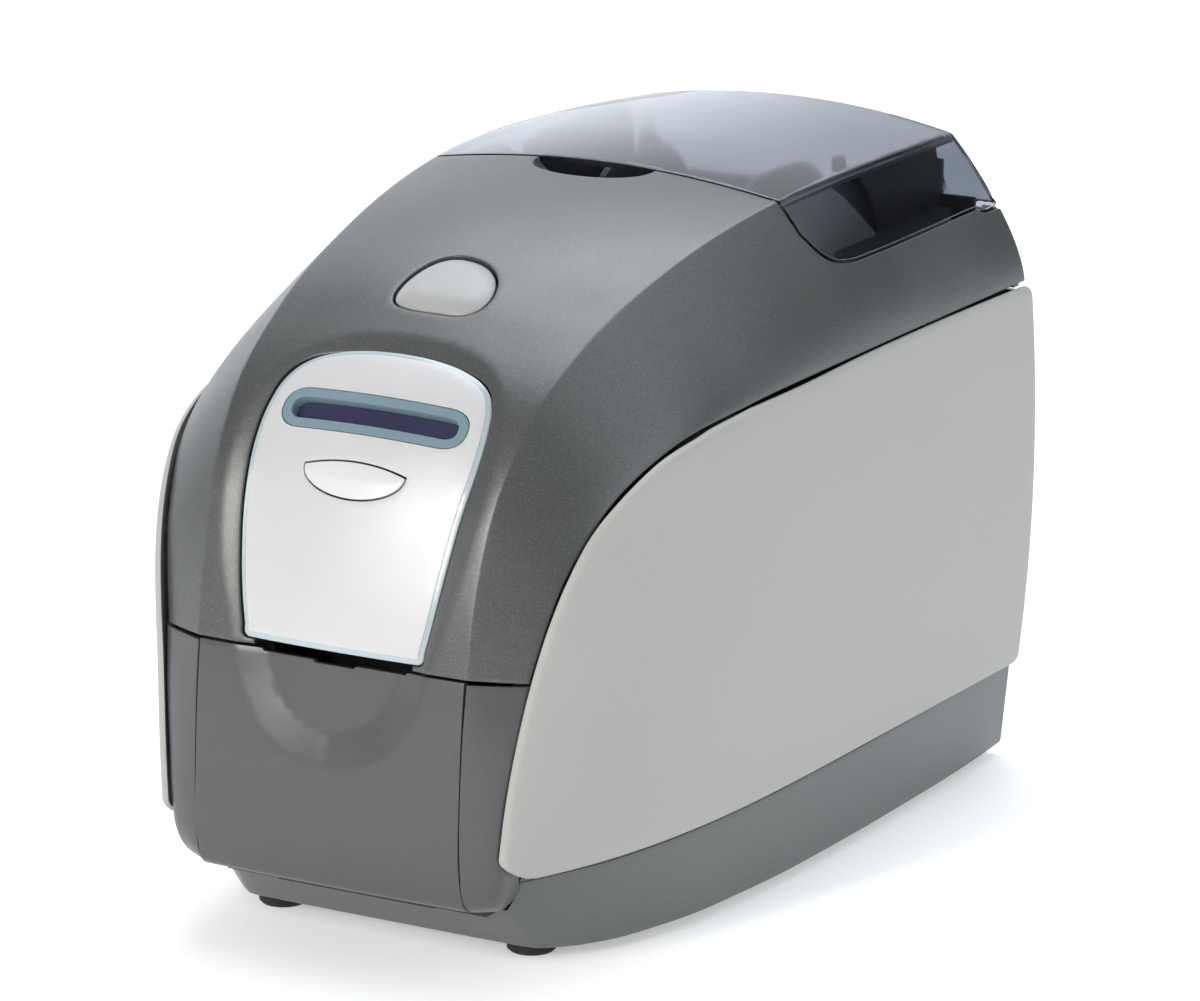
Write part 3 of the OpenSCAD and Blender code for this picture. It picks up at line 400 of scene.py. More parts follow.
def area_normals(V, F):
    n = np.cross(V[F[:, 1]] - V[F[:, 0]], V[F[:, 2]] - V[F[:, 0]])
    N = np.zeros_like(V)
    for k in range(3):
        np.add.at(N, F[:, k], n)
    return N / np.maximum(np.linalg.norm(N, axis=1, keepdims=True), 1e-12)


def sheet(loops, fmap, step=1.8, wall=2.0, edge=0.5, creases=(), lines=(), scale=(1.0, 1.0), inner_map=None, closed=True):
    """A shell: the region of the plane inside loops[0] and outside the others, carried onto a surface by fmap, given a wall, with its edges
    rounded over by edge. creases are (polyline, width) along folds, which get a small radius; lines are polylines that the mesh follows."""
    sc = np.array(scale, float)
    edge = [edge] * len(loops) if np.isscalar(edge) else edge
    loops = [np.array(l, float) for l in loops]
    for i, l in enumerate(loops):
        x, y = l[:, 0], l[:, 1]
        area = (x * np.roll(y, -1) - y * np.roll(x, -1)).sum()
        if (area < 0) == (i == 0):
            loops[i] = l[::-1]
    pts, links, depth = [], [], []

    def add(P, d):
        k = sum(len(p) for p in pts)
        pts.append(P)
        depth.append(np.full(len(P), d))
        return k

    start = []
    for l, r in zip(loops, edge):
        k0 = add(l, 0.0)
        n = len(l)
        links += [[k0 + i, k0 + (i + 1) % n] for i in range(n)]
        ks = [k0]
        e = np.roll(l, -1, axis=0) - l
        e /= np.linalg.norm(e, axis=1, keepdims=True)
        nn = np.stack([-e[:, 1], e[:, 0]], -1)
        m = nn + np.roll(nn, 1, axis=0)
        m /= np.maximum(np.linalg.norm(m, axis=1, keepdims=True), 1e-9)
        kk = np.maximum((m * nn).sum(1), 0.5)
        P0 = fmap(l)
        P1 = fmap(l + m * 0.05)
        L = np.linalg.norm(P1 - P0, axis=1) / 0.05
        for f in (0.076, 0.293, 0.617, 1.0):
            if r <= 0:
                break
            k = add(l + m * (f * r / kk / np.maximum(L, 0.2))[:, None], f * r)
            links += [[k + i, k + (i + 1) % n] for i in range(n)]
            ks.append(k)
        start.append((l, ks))
    folds = []
    for line, c in creases:
        line = np.array(line, float)
        T = np.gradient(line, axis=0)
        T /= np.linalg.norm(T, axis=1, keepdims=True)
        M = np.stack([-T[:, 1], T[:, 0]], -1)
        P0 = fmap(line)
        La = np.linalg.norm(fmap(line + M * 0.05) - P0, axis=1) / 0.05
        Lb = np.linalg.norm(fmap(line - M * 0.05) - P0, axis=1) / 0.05
        k0 = add(line[1:-1], np.inf)
        ka = add((line + M * (c / La)[:, None])[1:-1], np.inf)
        kb = add((line - M * (c / Lb)[:, None])[1:-1], np.inf)
        n = len(line) - 2
        for k in (k0, ka, kb):
            links += [[k + i, k + i + 1] for i in range(n - 1)]
        for end, q in ((line[0], k0), (line[-1], k0 + n - 1)):
            for l, ks in start:
                j = int(np.argmin(((l - end) ** 2).sum(1)))
                if ((l[j] - end) ** 2).sum() < 1e-4:
                    chain = [k + j for k in ks] + [q]
                    links += [[a, b] for a, b in zip(chain, chain[1:])]
        folds.append((k0, ka, kb, n, c))
    fixed = np.concatenate(pts)
    for line in lines:
        line = np.array(line, float)
        ok = inside(line, loops[0])
        for l in loops[1:]:
            ok &= ~inside(line, l)
        for l, r in zip(loops, edge):
            ok &= seg_dist(line * sc, l * sc) > r + 0.35
        ok &= seg_dist_pts(line * sc, fixed * sc) > 0.5
        k0 = add(line, np.inf)
        n = len(line)
        links += [[k0 + i, k0 + i + 1] for i in range(n - 1) if ok[i] and ok[i + 1]]
        depth[-1][~ok] = np.nan
    fixed = np.concatenate(pts)
    use = ~np.isnan(np.concatenate(depth))
    lo, hi = (loops[0] * sc).min(0), (loops[0] * sc).max(0)
    gx = np.arange(lo[0], hi[0] + step, step)
    gy = np.arange(lo[1], hi[1] + step, step * 0.866)
    G = np.array([[x + (step / 2 if j % 2 else 0), y] for j, y in enumerate(gy) for x in gx]) / sc
    ok = inside(G, loops[0])
    for l in loops[1:]:
        ok &= ~inside(G, l)
    G = G[ok]
    ok = np.ones(len(G), bool)
    for l, r in zip(loops, edge):
        ok &= seg_dist(G * sc, l * sc) > r * 1.15 + 0.42 * step
    G = G[ok]
    fp = (fixed * sc)[use & (np.concatenate(depth) > 1e-9)]
    if len(fp):
        G = G[seg_dist_pts(G * sc, fp) > 0.6 * step]
    kg = len(fixed)
    allp = np.concatenate([fixed, G])
    alld = np.concatenate(depth + [np.full(len(G), np.inf)])
    keep = ~np.isnan(alld)
    idx = -np.ones(len(allp), int)
    idx[keep] = np.arange(keep.sum())
    P2 = allp[keep] * sc
    d2 = alld[keep]
    E = [[int(idx[a]), int(idx[b])] for a, b in links if idx[a] >= 0 and idx[b] >= 0]
    vs, _, fs, ov, _, _ = delaunay_2d_cdt([Vector(p) for p in P2], E, [], 0, 1e-5)
    W = np.array([[v[0], v[1]] for v in vs]) / sc
    F = np.array([f for f in fs if len(f) == 3], int)
    C = W[F].mean(1)
    ok = inside(C, loops[0])
    for l in loops[1:]:
        ok &= ~inside(C, l)
    F = F[ok]
    back = -np.ones(len(P2), int)
    D = np.full(len(W), -1.0)
    for i, o in enumerate(ov):
        for k in o:
            back[k] = i
            D[i] = d2[k] if D[i] < 0 else min(D[i], d2[k])
    new = np.where(D < 0)[0]
    if len(new):
        q = np.min([seg_dist(W[new] * sc, l * sc) for l in loops], axis=0)
        D[new] = q
    # keep the used vertices only
    used = np.unique(F)
    ren = -np.ones(len(W), int)
    ren[used] = np.arange(len(used))
    F, W, D = ren[F], W[used], D[used]
    B = fmap(W)
    N = area_normals(B, F)
    outer = B.copy()
    for k0, ka, kb, n, c in folds:
        for i in range(n):
            tri = [back[idx[k + i]] if idx[k + i] >= 0 else -1 for k in (k0, ka, kb)]
            tri = [ren[t] if t >= 0 else -1 for t in tri]
            if min(tri) < 0:
                continue
            a, b = B[tri[1]] - B[tri[0]], B[tri[2]] - B[tri[0]]
            la, lb = np.linalg.norm(a), np.linalg.norm(b)
            m = a / la + b / lb
            lm = np.linalg.norm(m)
            if lm < 1e-4:
                continue
            al = math.asin(min(1, lm / 2))
            outer[tri[0]] += m / lm * c * math.tan(al / 2)
    loop_r = np.zeros(len(W))
    if max(edge) > 0:
        m = D < max(edge)
        best = np.full(len(W), np.inf)
        for l, r in zip(loops, edge):
            if m.any():
                q = seg_dist(W[m] * sc, l * sc)
                up = q < best[m]
                t = best[m]
                t[up] = q[up]
                best[m] = t
                lr = loop_r[m]
                lr[up] = r
                loop_r[m] = lr
        m = (D < loop_r) & (loop_r > 0)
        r, d = loop_r[m], D[m]
        outer[m] -= N[m] * (r - np.sqrt(np.maximum(r * r - (r - d) ** 2, 0)))[:, None]
    inner = (inner_map(W) if inner_map is not None else B - N * wall)
    nv = len(W)
    V = np.concatenate([outer, inner])
    e = np.concatenate([F[:, [0, 1]], F[:, [1, 2]], F[:, [2, 0]]])
    key = {}
    for a, b in e:
        key[(a, b)] = 1
    rim = [(a, b) for a, b in e if (b, a) not in key]
    faces = [list(f) for f in F] + [[f[2] + nv, f[1] + nv, f[0] + nv] for f in F]
    faces += [[b, a, a + nv, b + nv] for a, b in rim]
    return V, faces


def seg_dist_pts(P, Q):
    out = np.full(len(P), np.inf)
    for i in range(0, len(P), 1500):
        v = P[i:i + 1500, None, :] - Q[None]
        out[i:i + 1500] = np.sqrt((v * v).sum(2).min(1))
    return out


def flip_faces(F):
    return [list(f)[::-1] for f in F]


def mirrored(V, F):
    V = np.array(V) * [-1, 1, 1]
    return V, flip_faces(F)


def loft(loops, cap0=True, cap1=True, closed=True):
    """Skins a row of loops that have the same number of points."""
    n = len(loops[0])
    V = np.concatenate(loops)
    F = []
    m = n if closed else n - 1
    for r in range(len(loops) - 1):
        for i in range(m):
            a, b = r * n + i, r * n + (i + 1) % n
            F.append([a, b, b + n, a + n])
    if cap0:
        F.append(list(range(n))[::-1])
    if cap1:
        F.append([(len(loops) - 1) * n + i for i in range(n)])
    return V, F


def join(parts):
    V, F, k = [], [], 0
    for v, f in parts:
        V.append(np.asarray(v))
        F += [[i + k for i in g] for g in f]
        k += len(v)
    return np.concatenate(V), F


# =====================================================================
#  materials
# =====================================================================


def new_material(name):
    m = bpy.data.materials.new(name)
    m.use_nodes = True
    nt = m.node_tree
    nt.nodes.clear()
    out = nt.nodes.new("ShaderNodeOutputMaterial")
    p = nt.nodes.new("ShaderNodeBsdfPrincipled")
    nt.links.new(p.outputs[0], out.inputs[0])
    tc = nt.nodes.new("ShaderNodeTexCoord")
    return m, nt, p, tc


def noise(nt, tc, scale, detail=2.0, rough=0.5, dist=0.0):
    n = nt.nodes.new("ShaderNodeTexNoise")
    n.inputs["Scale"].default_value = scale
    n.inputs["Detail"].default_value = detail
    n.inputs["Roughness"].default_value = rough
    n.inputs["Distortion"].default_value = dist
    nt.links.new(tc.outputs["Object"], n.inputs["Vector"])
    return n


def ramp(nt, src, stops):
    r = nt.nodes.new("ShaderNodeValToRGB")
    e = r.color_ramp.elements
    while len(e) < len(stops):
        e.new(0.5)
    for k, (pos, col) in enumerate(stops):
        e[k].position = pos
        e[k].color = (*col, 1) if len(col) == 3 else col
    nt.links.new(src, r.inputs["Fac"])
    return r


def mapr(nt, src, a, b, c, d):
    m = nt.nodes.new("ShaderNodeMapRange")
    for k, v in zip(("From Min", "From Max", "To Min", "To Max"), (a, b, c, d)):
        m.inputs[k].default_value = v
    nt.links.new(src, m.inputs["Value"])
    return m


def mixc(nt, fac, a, b):
    m = nt.nodes.new("ShaderNodeMix")
    m.data_type = "RGBA"
    nt.links.new(fac, m.inputs[0])
    for sock, v in ((m.inputs[6], a), (m.inputs[7], b)):
        if isinstance(v, tuple):
            sock.default_value = (*v, 1)
        else:
            nt.links.new(v, sock)
    return m.outputs[2]


def bump(nt, p, h, strength, dist):
    b = nt.nodes.new("ShaderNodeBump")
    b.inputs["Strength"].default_value = strength
    b.inputs["Distance"].default_value = dist
    nt.links.new(h, b.inputs["Height"])
    nt.links.new(b.outputs["Normal"], p.inputs["Normal"])
    return b


def moulded(name, col, rough=0.5, spec=0.5, var=0.05, grain=1500, gb=0.12, fleck=None, coat=0.0, metal=0.0, rvar=0.05, vscale=22, dist=0.00006):
    """Moulded plastic: slow colour drift, a fine spark-eroded grain, and where wanted bright flecks in it."""
    m, nt, p, tc = new_material(name)
    a = noise(nt, tc, vscale, 3)
    lo = tuple(c * (1 - var) for c in col)
    hi = tuple(min(1, c * (1 + var)) for c in col)
    base = ramp(nt, a.outputs["Fac"], [(0.3, lo), (0.7, hi)]).outputs["Color"]
    g = noise(nt, tc, grain, 2, 0.6)
    if fleck:
        fcol, amount, scale = fleck
        f = noise(nt, tc, scale, 1, 0.7)
        k = mapr(nt, f.outputs["Fac"], 0.56, 0.72, 0, amount)
        base = mixc(nt, k.outputs[0], base, fcol)
        d = noise(nt, tc, scale * 0.7, 1, 0.7)
        k2 = mapr(nt, d.outputs["Fac"], 0.56, 0.75, 0, amount * 0.8)
        base = mixc(nt, k2.outputs[0], base, tuple(c * 0.55 for c in col))
        mk = mapr(nt, f.outputs["Fac"], 0.56, 0.72, metal, min(1, metal + 0.5 * amount))
        nt.links.new(mk.outputs[0], p.inputs["Metallic"])
    else:
        p.inputs["Metallic"].default_value = metal
    nt.links.new(base, p.inputs["Base Color"])
    rr = mapr(nt, a.outputs["Fac"], 0.3, 0.7, rough - rvar, rough + rvar)
    nt.links.new(rr.outputs[0], p.inputs["Roughness"])
    p.inputs["Specular IOR Level"].default_value = spec
    p.inputs["Coat Weight"].default_value = coat
    p.inputs["Coat Roughness"].default_value = 0.12
    bump(nt, p, g.outputs["Fac"], gb, dist)
    return m


def brushed(name, col, rough=0.35, stretch=(1, 30, 30), scale=90, metal=1.0, gb=0.06):
    """Rolled or brushed metal: streaks along one axis."""
    m, nt, p, tc = new_material(name)
    mp = nt.nodes.new("ShaderNodeMapping")
    mp.inputs["Scale"].default_value = stretch
    nt.links.new(tc.outputs["Object"], mp.inputs["Vector"])
    n = nt.nodes.new("ShaderNodeTexNoise")
    n.inputs["Scale"].default_value = scale
    n.inputs["Detail"].default_value = 4
    nt.links.new(mp.outputs[0], n.inputs["Vector"])
    lo, hi = tuple(c * 0.86 for c in col), tuple(min(1, c * 1.1) for c in col)
    nt.links.new(ramp(nt, n.outputs["Fac"], [(0.3, lo), (0.7, hi)]).outputs["Color"], p.inputs["Base Color"])
    nt.links.new(mapr(nt, n.outputs["Fac"], 0.3, 0.7, rough - 0.08, rough + 0.1).outputs[0], p.inputs["Roughness"])
    p.inputs["Metallic"].default_value = metal
    bump(nt, p, n.outputs["Fac"], gb, 0.00005)
    return m


def rubber(name, col, scale=700, rough=0.75, gb=0.35):
    m, nt, p, tc = new_material(name)
    v = nt.nodes.new("ShaderNodeTexVoronoi")
    v.inputs["Scale"].default_value = scale
    nt.links.new(tc.outputs["Object"], v.inputs["Vector"])
    n = noise(nt, tc, 60, 3)
    lo, hi = tuple(c * 0.8 for c in col), tuple(min(1, c * 1.25) for c in col)
    nt.links.new(ramp(nt, n.outputs["Fac"], [(0.3, lo), (0.7, hi)]).outputs["Color"], p.inputs["Base Color"])
    nt.links.new(mapr(nt, n.outputs["Fac"], 0.3, 0.7, rough - 0.08, rough + 0.08).outputs[0], p.inputs["Roughness"])
    bump(nt, p, v.outputs["Distance"], gb, 0.00015)
    return m


def smoke(name, tint, rough=0.04):
    """Clear smoke-tinted plastic; lamps reach what is behind it."""
    m, nt, p, tc = new_material(name)
    n = noise(nt, tc, 14, 2)
    lo, hi = tuple(c * 0.93 for c in tint), tuple(min(1, c * 1.05) for c in tint)
    nt.links.new(ramp(nt, n.outputs["Fac"], [(0.3, lo), (0.7, hi)]).outputs["Color"], p.inputs["Base Color"])
    nt.links.new(mapr(nt, n.outputs["Fac"], 0.3, 0.7, rough * 0.6, rough * 1.6).outputs[0], p.inputs["Roughness"])
    p.inputs["Transmission Weight"].default_value = 1.0
    p.inputs["IOR"].default_value = 1.49
    out = [x for x in nt.nodes if x.type == "OUTPUT_MATERIAL"][0]
    mx = nt.nodes.new("ShaderNodeMixShader")
    lp = nt.nodes.new("ShaderNodeLightPath")
    tr = nt.nodes.new("ShaderNodeBsdfTransparent")
    tr.inputs["Color"].default_value = (*[c ** 0.5 * 0.9 for c in tint], 1)
    nt.links.new(lp.outputs["Is Shadow Ray"], mx.inputs[0])
    nt.links.new(p.outputs[0], mx.inputs[1])
    nt.links.new(tr.outputs[0], mx.inputs[2])
    nt.links.new(mx.outputs[0], out.inputs[0])
    return m


def board(name):
    m, nt, p, tc = new_material(name)
    mp = nt.nodes.new("ShaderNodeMapping")
    mp.inputs["Scale"].default_value = (1, 1, 0.2)
    nt.links.new(tc.outputs["Object"], mp.inputs["Vector"])
    b = nt.nodes.new("ShaderNodeTexBrick")
    b.inputs["Scale"].default_value = 70
    b.inputs["Color1"].default_value = (0.02, 0.16, 0.06, 1)
    b.inputs["Color2"].default_value = (0.03, 0.2, 0.08, 1)
    b.inputs["Mortar"].default_value = (0.06, 0.3, 0.14, 1)
    b.inputs["Mortar Size"].default_value = 0.03
    nt.links.new(mp.outputs[0], b.inputs["Vector"])
    nt.links.new(b.outputs["Color"], p.inputs["Base Color"])
    n = noise(nt, tc, 200, 2)
    nt.links.new(mapr(nt, n.outputs["Fac"], 0.3, 0.7, 0.3, 0.5).outputs[0], p.inputs["Roughness"])
    bump(nt, p, b.outputs["Fac"], 0.2, 0.0001)
    return m


FLECK = (0.50, 0.49, 0.45)
MAT = {
    "cover_plastic": moulded("cover_plastic", (0.063, 0.066, 0.064), 0.36, 0.75, 0.04, 1700, 0.16, (FLECK, 0.15, 1900), metal=0.14),
    "bezel_plastic": moulded("bezel_plastic", (0.067, 0.067, 0.0685), 0.34, 0.6, 0.035, 1800, 0.12, ((0.26, 0.26, 0.255), 0.10, 1700)),
    "base_plastic": moulded("base_plastic", (0.105, 0.114, 0.110), 0.38, 0.55, 0.05, 1700, 0.14, ((0.36, 0.38, 0.36), 0.14, 1500)),
    "panel_plastic": moulded("panel_plastic", (0.405, 0.396, 0.372), 0.55, 0.35, 0.02, 2200, 0.08),
    "fascia_silver": moulded("fascia_silver", (0.56, 0.555, 0.555), 0.38, 0.5, 0.012, 2600, 0.03, ((0.66, 0.66, 0.67), 0.10, 2600), coat=0.2, metal=0.1),
    "fascia_edge": moulded("fascia_edge", (0.40, 0.46, 0.48), 0.18, 0.6, 0.05, 900, 0.02, coat=0.6),
    "ring_plastic": moulded("ring_plastic", (0.165, 0.235, 0.275), 0.6, 0.2, 0.03, 1900, 0.06),
    "display_glass": moulded("display_glass", (0.035, 0.033, 0.085), 0.12, 0.5, 0.08, 500, 0.01, coat=0.5),
    "button_silver": moulded("button_silver", (0.68, 0.675, 0.675), 0.34, 0.5, 0.012, 2400, 0.03, ((0.7, 0.7, 0.7), 0.08, 2400), metal=0.12),
    "button_grey": moulded("button_grey", (0.36, 0.358, 0.35), 0.42, 0.45, 0.03, 1800, 0.06, ((0.5, 0.5, 0.49), 0.12, 1500)),
    "lid_arm_plastic": moulded("lid_arm_plastic", (0.06, 0.065, 0.075), 0.4, 0.5, 0.06, 1500, 0.1),
    "black_plastic": moulded("black_plastic", (0.022, 0.022, 0.024), 0.48, 0.5, 0.12, 1400, 0.14),
    "gate_blue": moulded("gate_blue", (0.03, 0.12, 0.25), 0.4, 0.5, 0.08, 1500, 0.1),
    "white_plastic": moulded("white_plastic", (0.62, 0.61, 0.57), 0.42, 0.5, 0.03, 1500, 0.08),
    "foot_rubber": rubber("foot_rubber", (0.012, 0.012, 0.012)),
    "belt_rubber": rubber("belt_rubber", (0.02, 0.02, 0.02), 1000),
    "roller_rubber": rubber("roller_rubber", (0.05, 0.05, 0.052), 1300, 0.6, 0.2),
    "feed_rubber": rubber("feed_rubber", (0.3, 0.07, 0.03), 900, 0.65, 0.3),
    "sheet_steel": brushed("sheet_steel", (0.55, 0.56, 0.57), 0.38, (1, 2, 40), 60),
    "pin_steel": brushed("pin_steel", (0.6, 0.6, 0.61), 0.26, (40, 2, 2), 80),
    "bush_brass": brushed("bush_brass", (0.62, 0.43, 0.16), 0.33, (30, 2, 2), 90),
    "motor_steel": brushed("motor_steel", (0.16, 0.16, 0.17), 0.45, (2, 2, 2), 300),
    "pulley_aluminium": brushed("pulley_aluminium", (0.66, 0.67, 0.69), 0.32, (30, 2, 2), 90),
    "head_ceramic": moulded("head_ceramic", (0.6, 0.56, 0.45), 0.35, 0.5, 0.05, 900, 0.05),
    "board_green": board("board_green"),
    "smoke_clear": smoke("smoke_clear", (0.44, 0.465, 0.51)),
}
SLOT = {p["node"]: p["material_slot"] for p in frame["record"]["subparts"]}
for name, ob in NODES.items():
    m = MAT[SLOT[name]]
    if not ob.data.materials:
        ob.data.materials.append(m)
    for k in range(len(ob.data.materials)):
        ob.data.materials[k] = m
    ob.data.shade_smooth()
    ob.data.set_sharp_from_angle(angle=rad(32))


def piece(name, VF, node, body, slot_name=None, angle=35):
    ob = mesh_object(name, VF[0], VF[1], angle)
    sl = slot_name or SLOT[node[0] if isinstance(node, (list, tuple)) else node]
    ob.data.materials.append(MAT[sl])
    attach(ob, body)
    if node:
        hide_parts(*(node if isinstance(node, (list, tuple)) else [node]))
    return ob


# =====================================================================
#  pieces
# =====================================================================


def crease_line(s0, s1, sign, step=1.5, k=0.0):
    S = np.linspace(s0, s1, max(3, int((s1 - s0) / step)))
    return np.stack([sign * RDG(S)[:, 0], S], -1)


# ---- top cover ----
def cover_piece():
    side_r = lid_side(0.0)  # crease at the front ... back
    front = lid_front(0.0)
    up = np.arange(s_seam, s_end, 2.0)
    right_edge = np.stack([lid_u(up, 1.0), up], -1)
    w_seam = float(RDG(s_seam)[0])
    e_seam = float(lid_u(s_seam, 1.0))
    bottom = np.array([[x, s_seam] for x in np.concatenate([np.linspace(31, w_seam, 14), np.linspace(w_seam, e_seam, 12)[1:-1]])])
    back_u = np.linspace(lid_u(s_end, 1.0), side_r[-1][0] + 0.3, 14)
    back = np.stack([back_u, np.full(14, s_end)], -1)
    fas = fas_loop(0.6)  # anticlockwise
    # the part of the fascia opening above its lower edge, from right bottom up and over to left bottom
    i0 = int(np.argmin(np.abs(fas[:, 0] - 31.0) + 10 * np.abs(fas[:, 1] - fas[:, 1].min())))
    fas = np.roll(fas, -i0, axis=0)
    j = int(np.argmin(np.abs(fas[:, 0] + 31.0) + 10 * np.abs(fas[:, 1] - fas[:, 1].min())))
    arch = fas[:j + 1]
    half_r = np.concatenate([bottom, right_edge[:-1] if right_edge[-1][1] > s_end - 0.5 else right_edge, back, side_r[::-1][:-1]])
    half_l = (half_r * [-1, 1])[::-1]
    outer = np.concatenate([half_r, front[:-1], half_l[:1] * 0 + front[-1:], half_l])
    outer = np.concatenate([outer, [[-31, s_seam + 1]], arch[::-1], [[31, s_seam + 1]]])
    # drop repeated points
    outer = outer[np.linalg.norm(outer - np.roll(outer, -1, axis=0), axis=1) > 0.02]
    # release button opening
    eg = pebble(0.75)
    hole = np.stack([eg[:, 0], to_s(REL, eg, lambda x: 0 * x)], -1)
    # finger notch, open towards the lid
    cn, wn, fr = -2.6, 23.4, 15.6
    s_lid = float(solve(lambda q: rib(q, 0.0)[1] - 19.8, rs[9], rs[11]))
    a = np.linspace(0, math.pi, 50)
    notch = np.stack([cn + wn * np.cos(a), s_lid - fr * np.sin(a) ** 0.85], -1)
    # cut the notch into the outer loop: replace the front-edge points between its corners
    x = outer[:, 0]
    onf = np.abs(outer[:, 1] - s_lid) < 2.0
    sel = onf & (np.abs(x - cn) < wn)
    idx = np.where(sel)[0]
    a0, a1 = idx[0], idx[-1]
    sgn = 1 if outer[a0, 0] > outer[a1, 0] else -1
    nt_ = notch if sgn > 0 else notch[::-1]
    nt_ = nt_.copy()
    nt_[0, 1] = nt_[-1, 1] = s_lid
    outer = np.concatenate([outer[:a0], nt_, outer[a1 + 1:]])
    s_cr = side_r[0][1]
    creases = [(np.concatenate([[[sg * w_seam, s_seam]], crease_line(s_seam + 1.2, s_cr - 1.2, sg), [[sg * side_r[0][0], s_cr]]]), 0.5) for sg in (1, -1)]
    lines = [np.concatenate([DO, DO[:1]]), np.concatenate([DI, DI[:1]])]
    V, F = sheet([outer, hole], casing, step=2.0, wall=2.5, edge=[0.55, 0.5], creases=creases, lines=lines)
    # scooped bowl of the finger notch
    K = np.linspace(0, math.pi / 2, 9)
    rows = []
    rim = casing(np.stack([notch[:, 0], notch[:, 1]], -1))
    C = np.array([cn, 21.5, 0.0])
    for k in K:
        q = rim.copy()
        q[:, 0] += (C[0] - q[:, 0]) * (1 - math.cos(k)) * 0.9
        q[:, 1] += (C[1] - q[:, 1]) * (1 - math.cos(k)) * 0.75
        q[:, 2] -= 0.45 + 7.6 * math.sin(k)
        rows.append(q)
    bowl = loft(rows, False, False, closed=False)
    back_rows = [r + np.array([0, 0, 0]) for r in rows]
    for r, k in zip(back_rows, K):
        d = (r - np.array([cn, 22.0, 246.0]))
        r += d / np.linalg.norm(d, axis=1, keepdims=True) * 1.2
    under = loft(back_rows, False, False, closed=False)
    under = (under[0], flip_faces(under[1]))
    n = len(rim)
    R = len(rows)
    V3, F3 = join([bowl, under])
    m = n * R
    edge_f = [[i, i + 1, m + i + 1, m + i][::-1] for i in range(n - 1)] + [[(R - 1) * n + i, (R - 1) * n + i + 1, m + (R - 1) * n + i + 1, m + (R - 1) * n + i] for i in range(n - 1)]
    edge_f += [[r * n, (r + 1) * n, m + (r + 1) * n, m + r * n] for r in range(R - 1)] + [[r * n + n - 1, (r + 1) * n + n - 1, m + (r + 1) * n + n - 1, m + r * n + n - 1][::-1] for r in range(R - 1)]
    F3 = flip_faces(F3) + [f for f in edge_f]
    return join([(V, F), (V3, F3)])


# ---- smoke lid ----
def lid_piece():
    g = 0.8
    side_r = lid_side(g + 0.0)
    front = lid_front(g)
    w_end = float(RDG(s_end)[0])

    def fmap(P):
        u, s = P[:, 0], P[:, 1]
        over = s > s_end
        out = casing(np.stack([u, np.minimum(s, s_end)], -1), dd=False)
        out[over, 2] -= (s - s_end)[over]
        out[:, 1] = np.minimum(out[:, 1], 156.25)
        return out

    zlow = 208.1
    # where the back edge reaches the lower line
    T = np.linspace(0, 1, 200)
    zz = side(np.full(200, s_end), T)[:, 2]
    t_low = float(np.interp(-zlow, -zz, T))
    u_low = float(lid_u(s_end, t_low))
    uu = np.concatenate([np.linspace(u_low, w_end, 16), np.linspace(w_end, -w_end, 70)[1:-1], np.linspace(-w_end, -u_low, 16)])
    zb = casing(np.stack([uu, np.full(len(uu), s_end)], -1), dd=False)[:, 2]
    backl = np.stack([uu, s_end + np.maximum(zb - zlow, 0.0)], -1)
    sr = side_r[(side_r[:, 1] < s_end - 1.0)]
    half_r = sr
    half_l = (sr * [-1, 1])
    outer = np.concatenate([half_r, backl, half_l[::-1], front[::-1][1:-1]])
    outer = outer[np.linalg.norm(outer - np.roll(outer, -1, axis=0), axis=1) > 0.02]
    s_cr = side_r[0][1]
    z_cr = float(RDG(s_end)[2]) - zlow
    creases = [(np.concatenate([[[sg * side_r[0][0], s_cr]], crease_line(s_cr + 1.2, s_end - 1.4, sg)]), 0.55) for sg in (1, -1)]
    fold = np.stack([np.linspace(u_low - 3, -(u_low - 3), 110), np.full(110, s_end)], -1)
    creases.append((fold, 0.7))
    return sheet([outer], fmap, step=2.4, wall=2.0, edge=0.6, creases=creases)


# ---- hopper door ----
lip = Curve(np.array([-9.9, -6.6, -3.4, 0, 3]), [[-150.6, 25.2], [-153.6, 25.4], [-156.2, 26.3], [-158.2, 27.9], RDG(3.0)[1:3]])


def door_map(P):
    x, s = P[:, 0], P[:, 1]
    out = rib(np.maximum(s, 3), x, -dish(np.maximum(s, 3), x))
    m = s < 3
    if m.any():
        L = lip(s[m])
        q = np.clip(np.abs(x[m]) / 52, 0, 1)
        c = 0.9 + 0.15 * (s[m] + 9.9) / 12.9
        out[m] = np.stack([x[m], L[:, 0] - c * (1 - q * q), L[:, 1]], -1)
    return out


def door_piece():
    T = s_seam - 0.9
    top = [[51.9, T], [29.3, T], [28.2, T - 1.0], [8.9, T - 1.0], [8.0, T - 1.9], [-7.2, T - 1.9], [-8.1, T - 1.0], [-27.2, T - 1.0], [-28.3, T], [-51.9, T]]
    outer = dense(np.array([[-51.9, -9.9], [51.9, -9.9]] + top), 1.5)
    lines = [np.concatenate([DO, DO[:1]]), np.concatenate([DI, DI[:1]])]
    return sheet([outer], door_map, step=2.0, wall=2.4, edge=0.14, lines=lines)


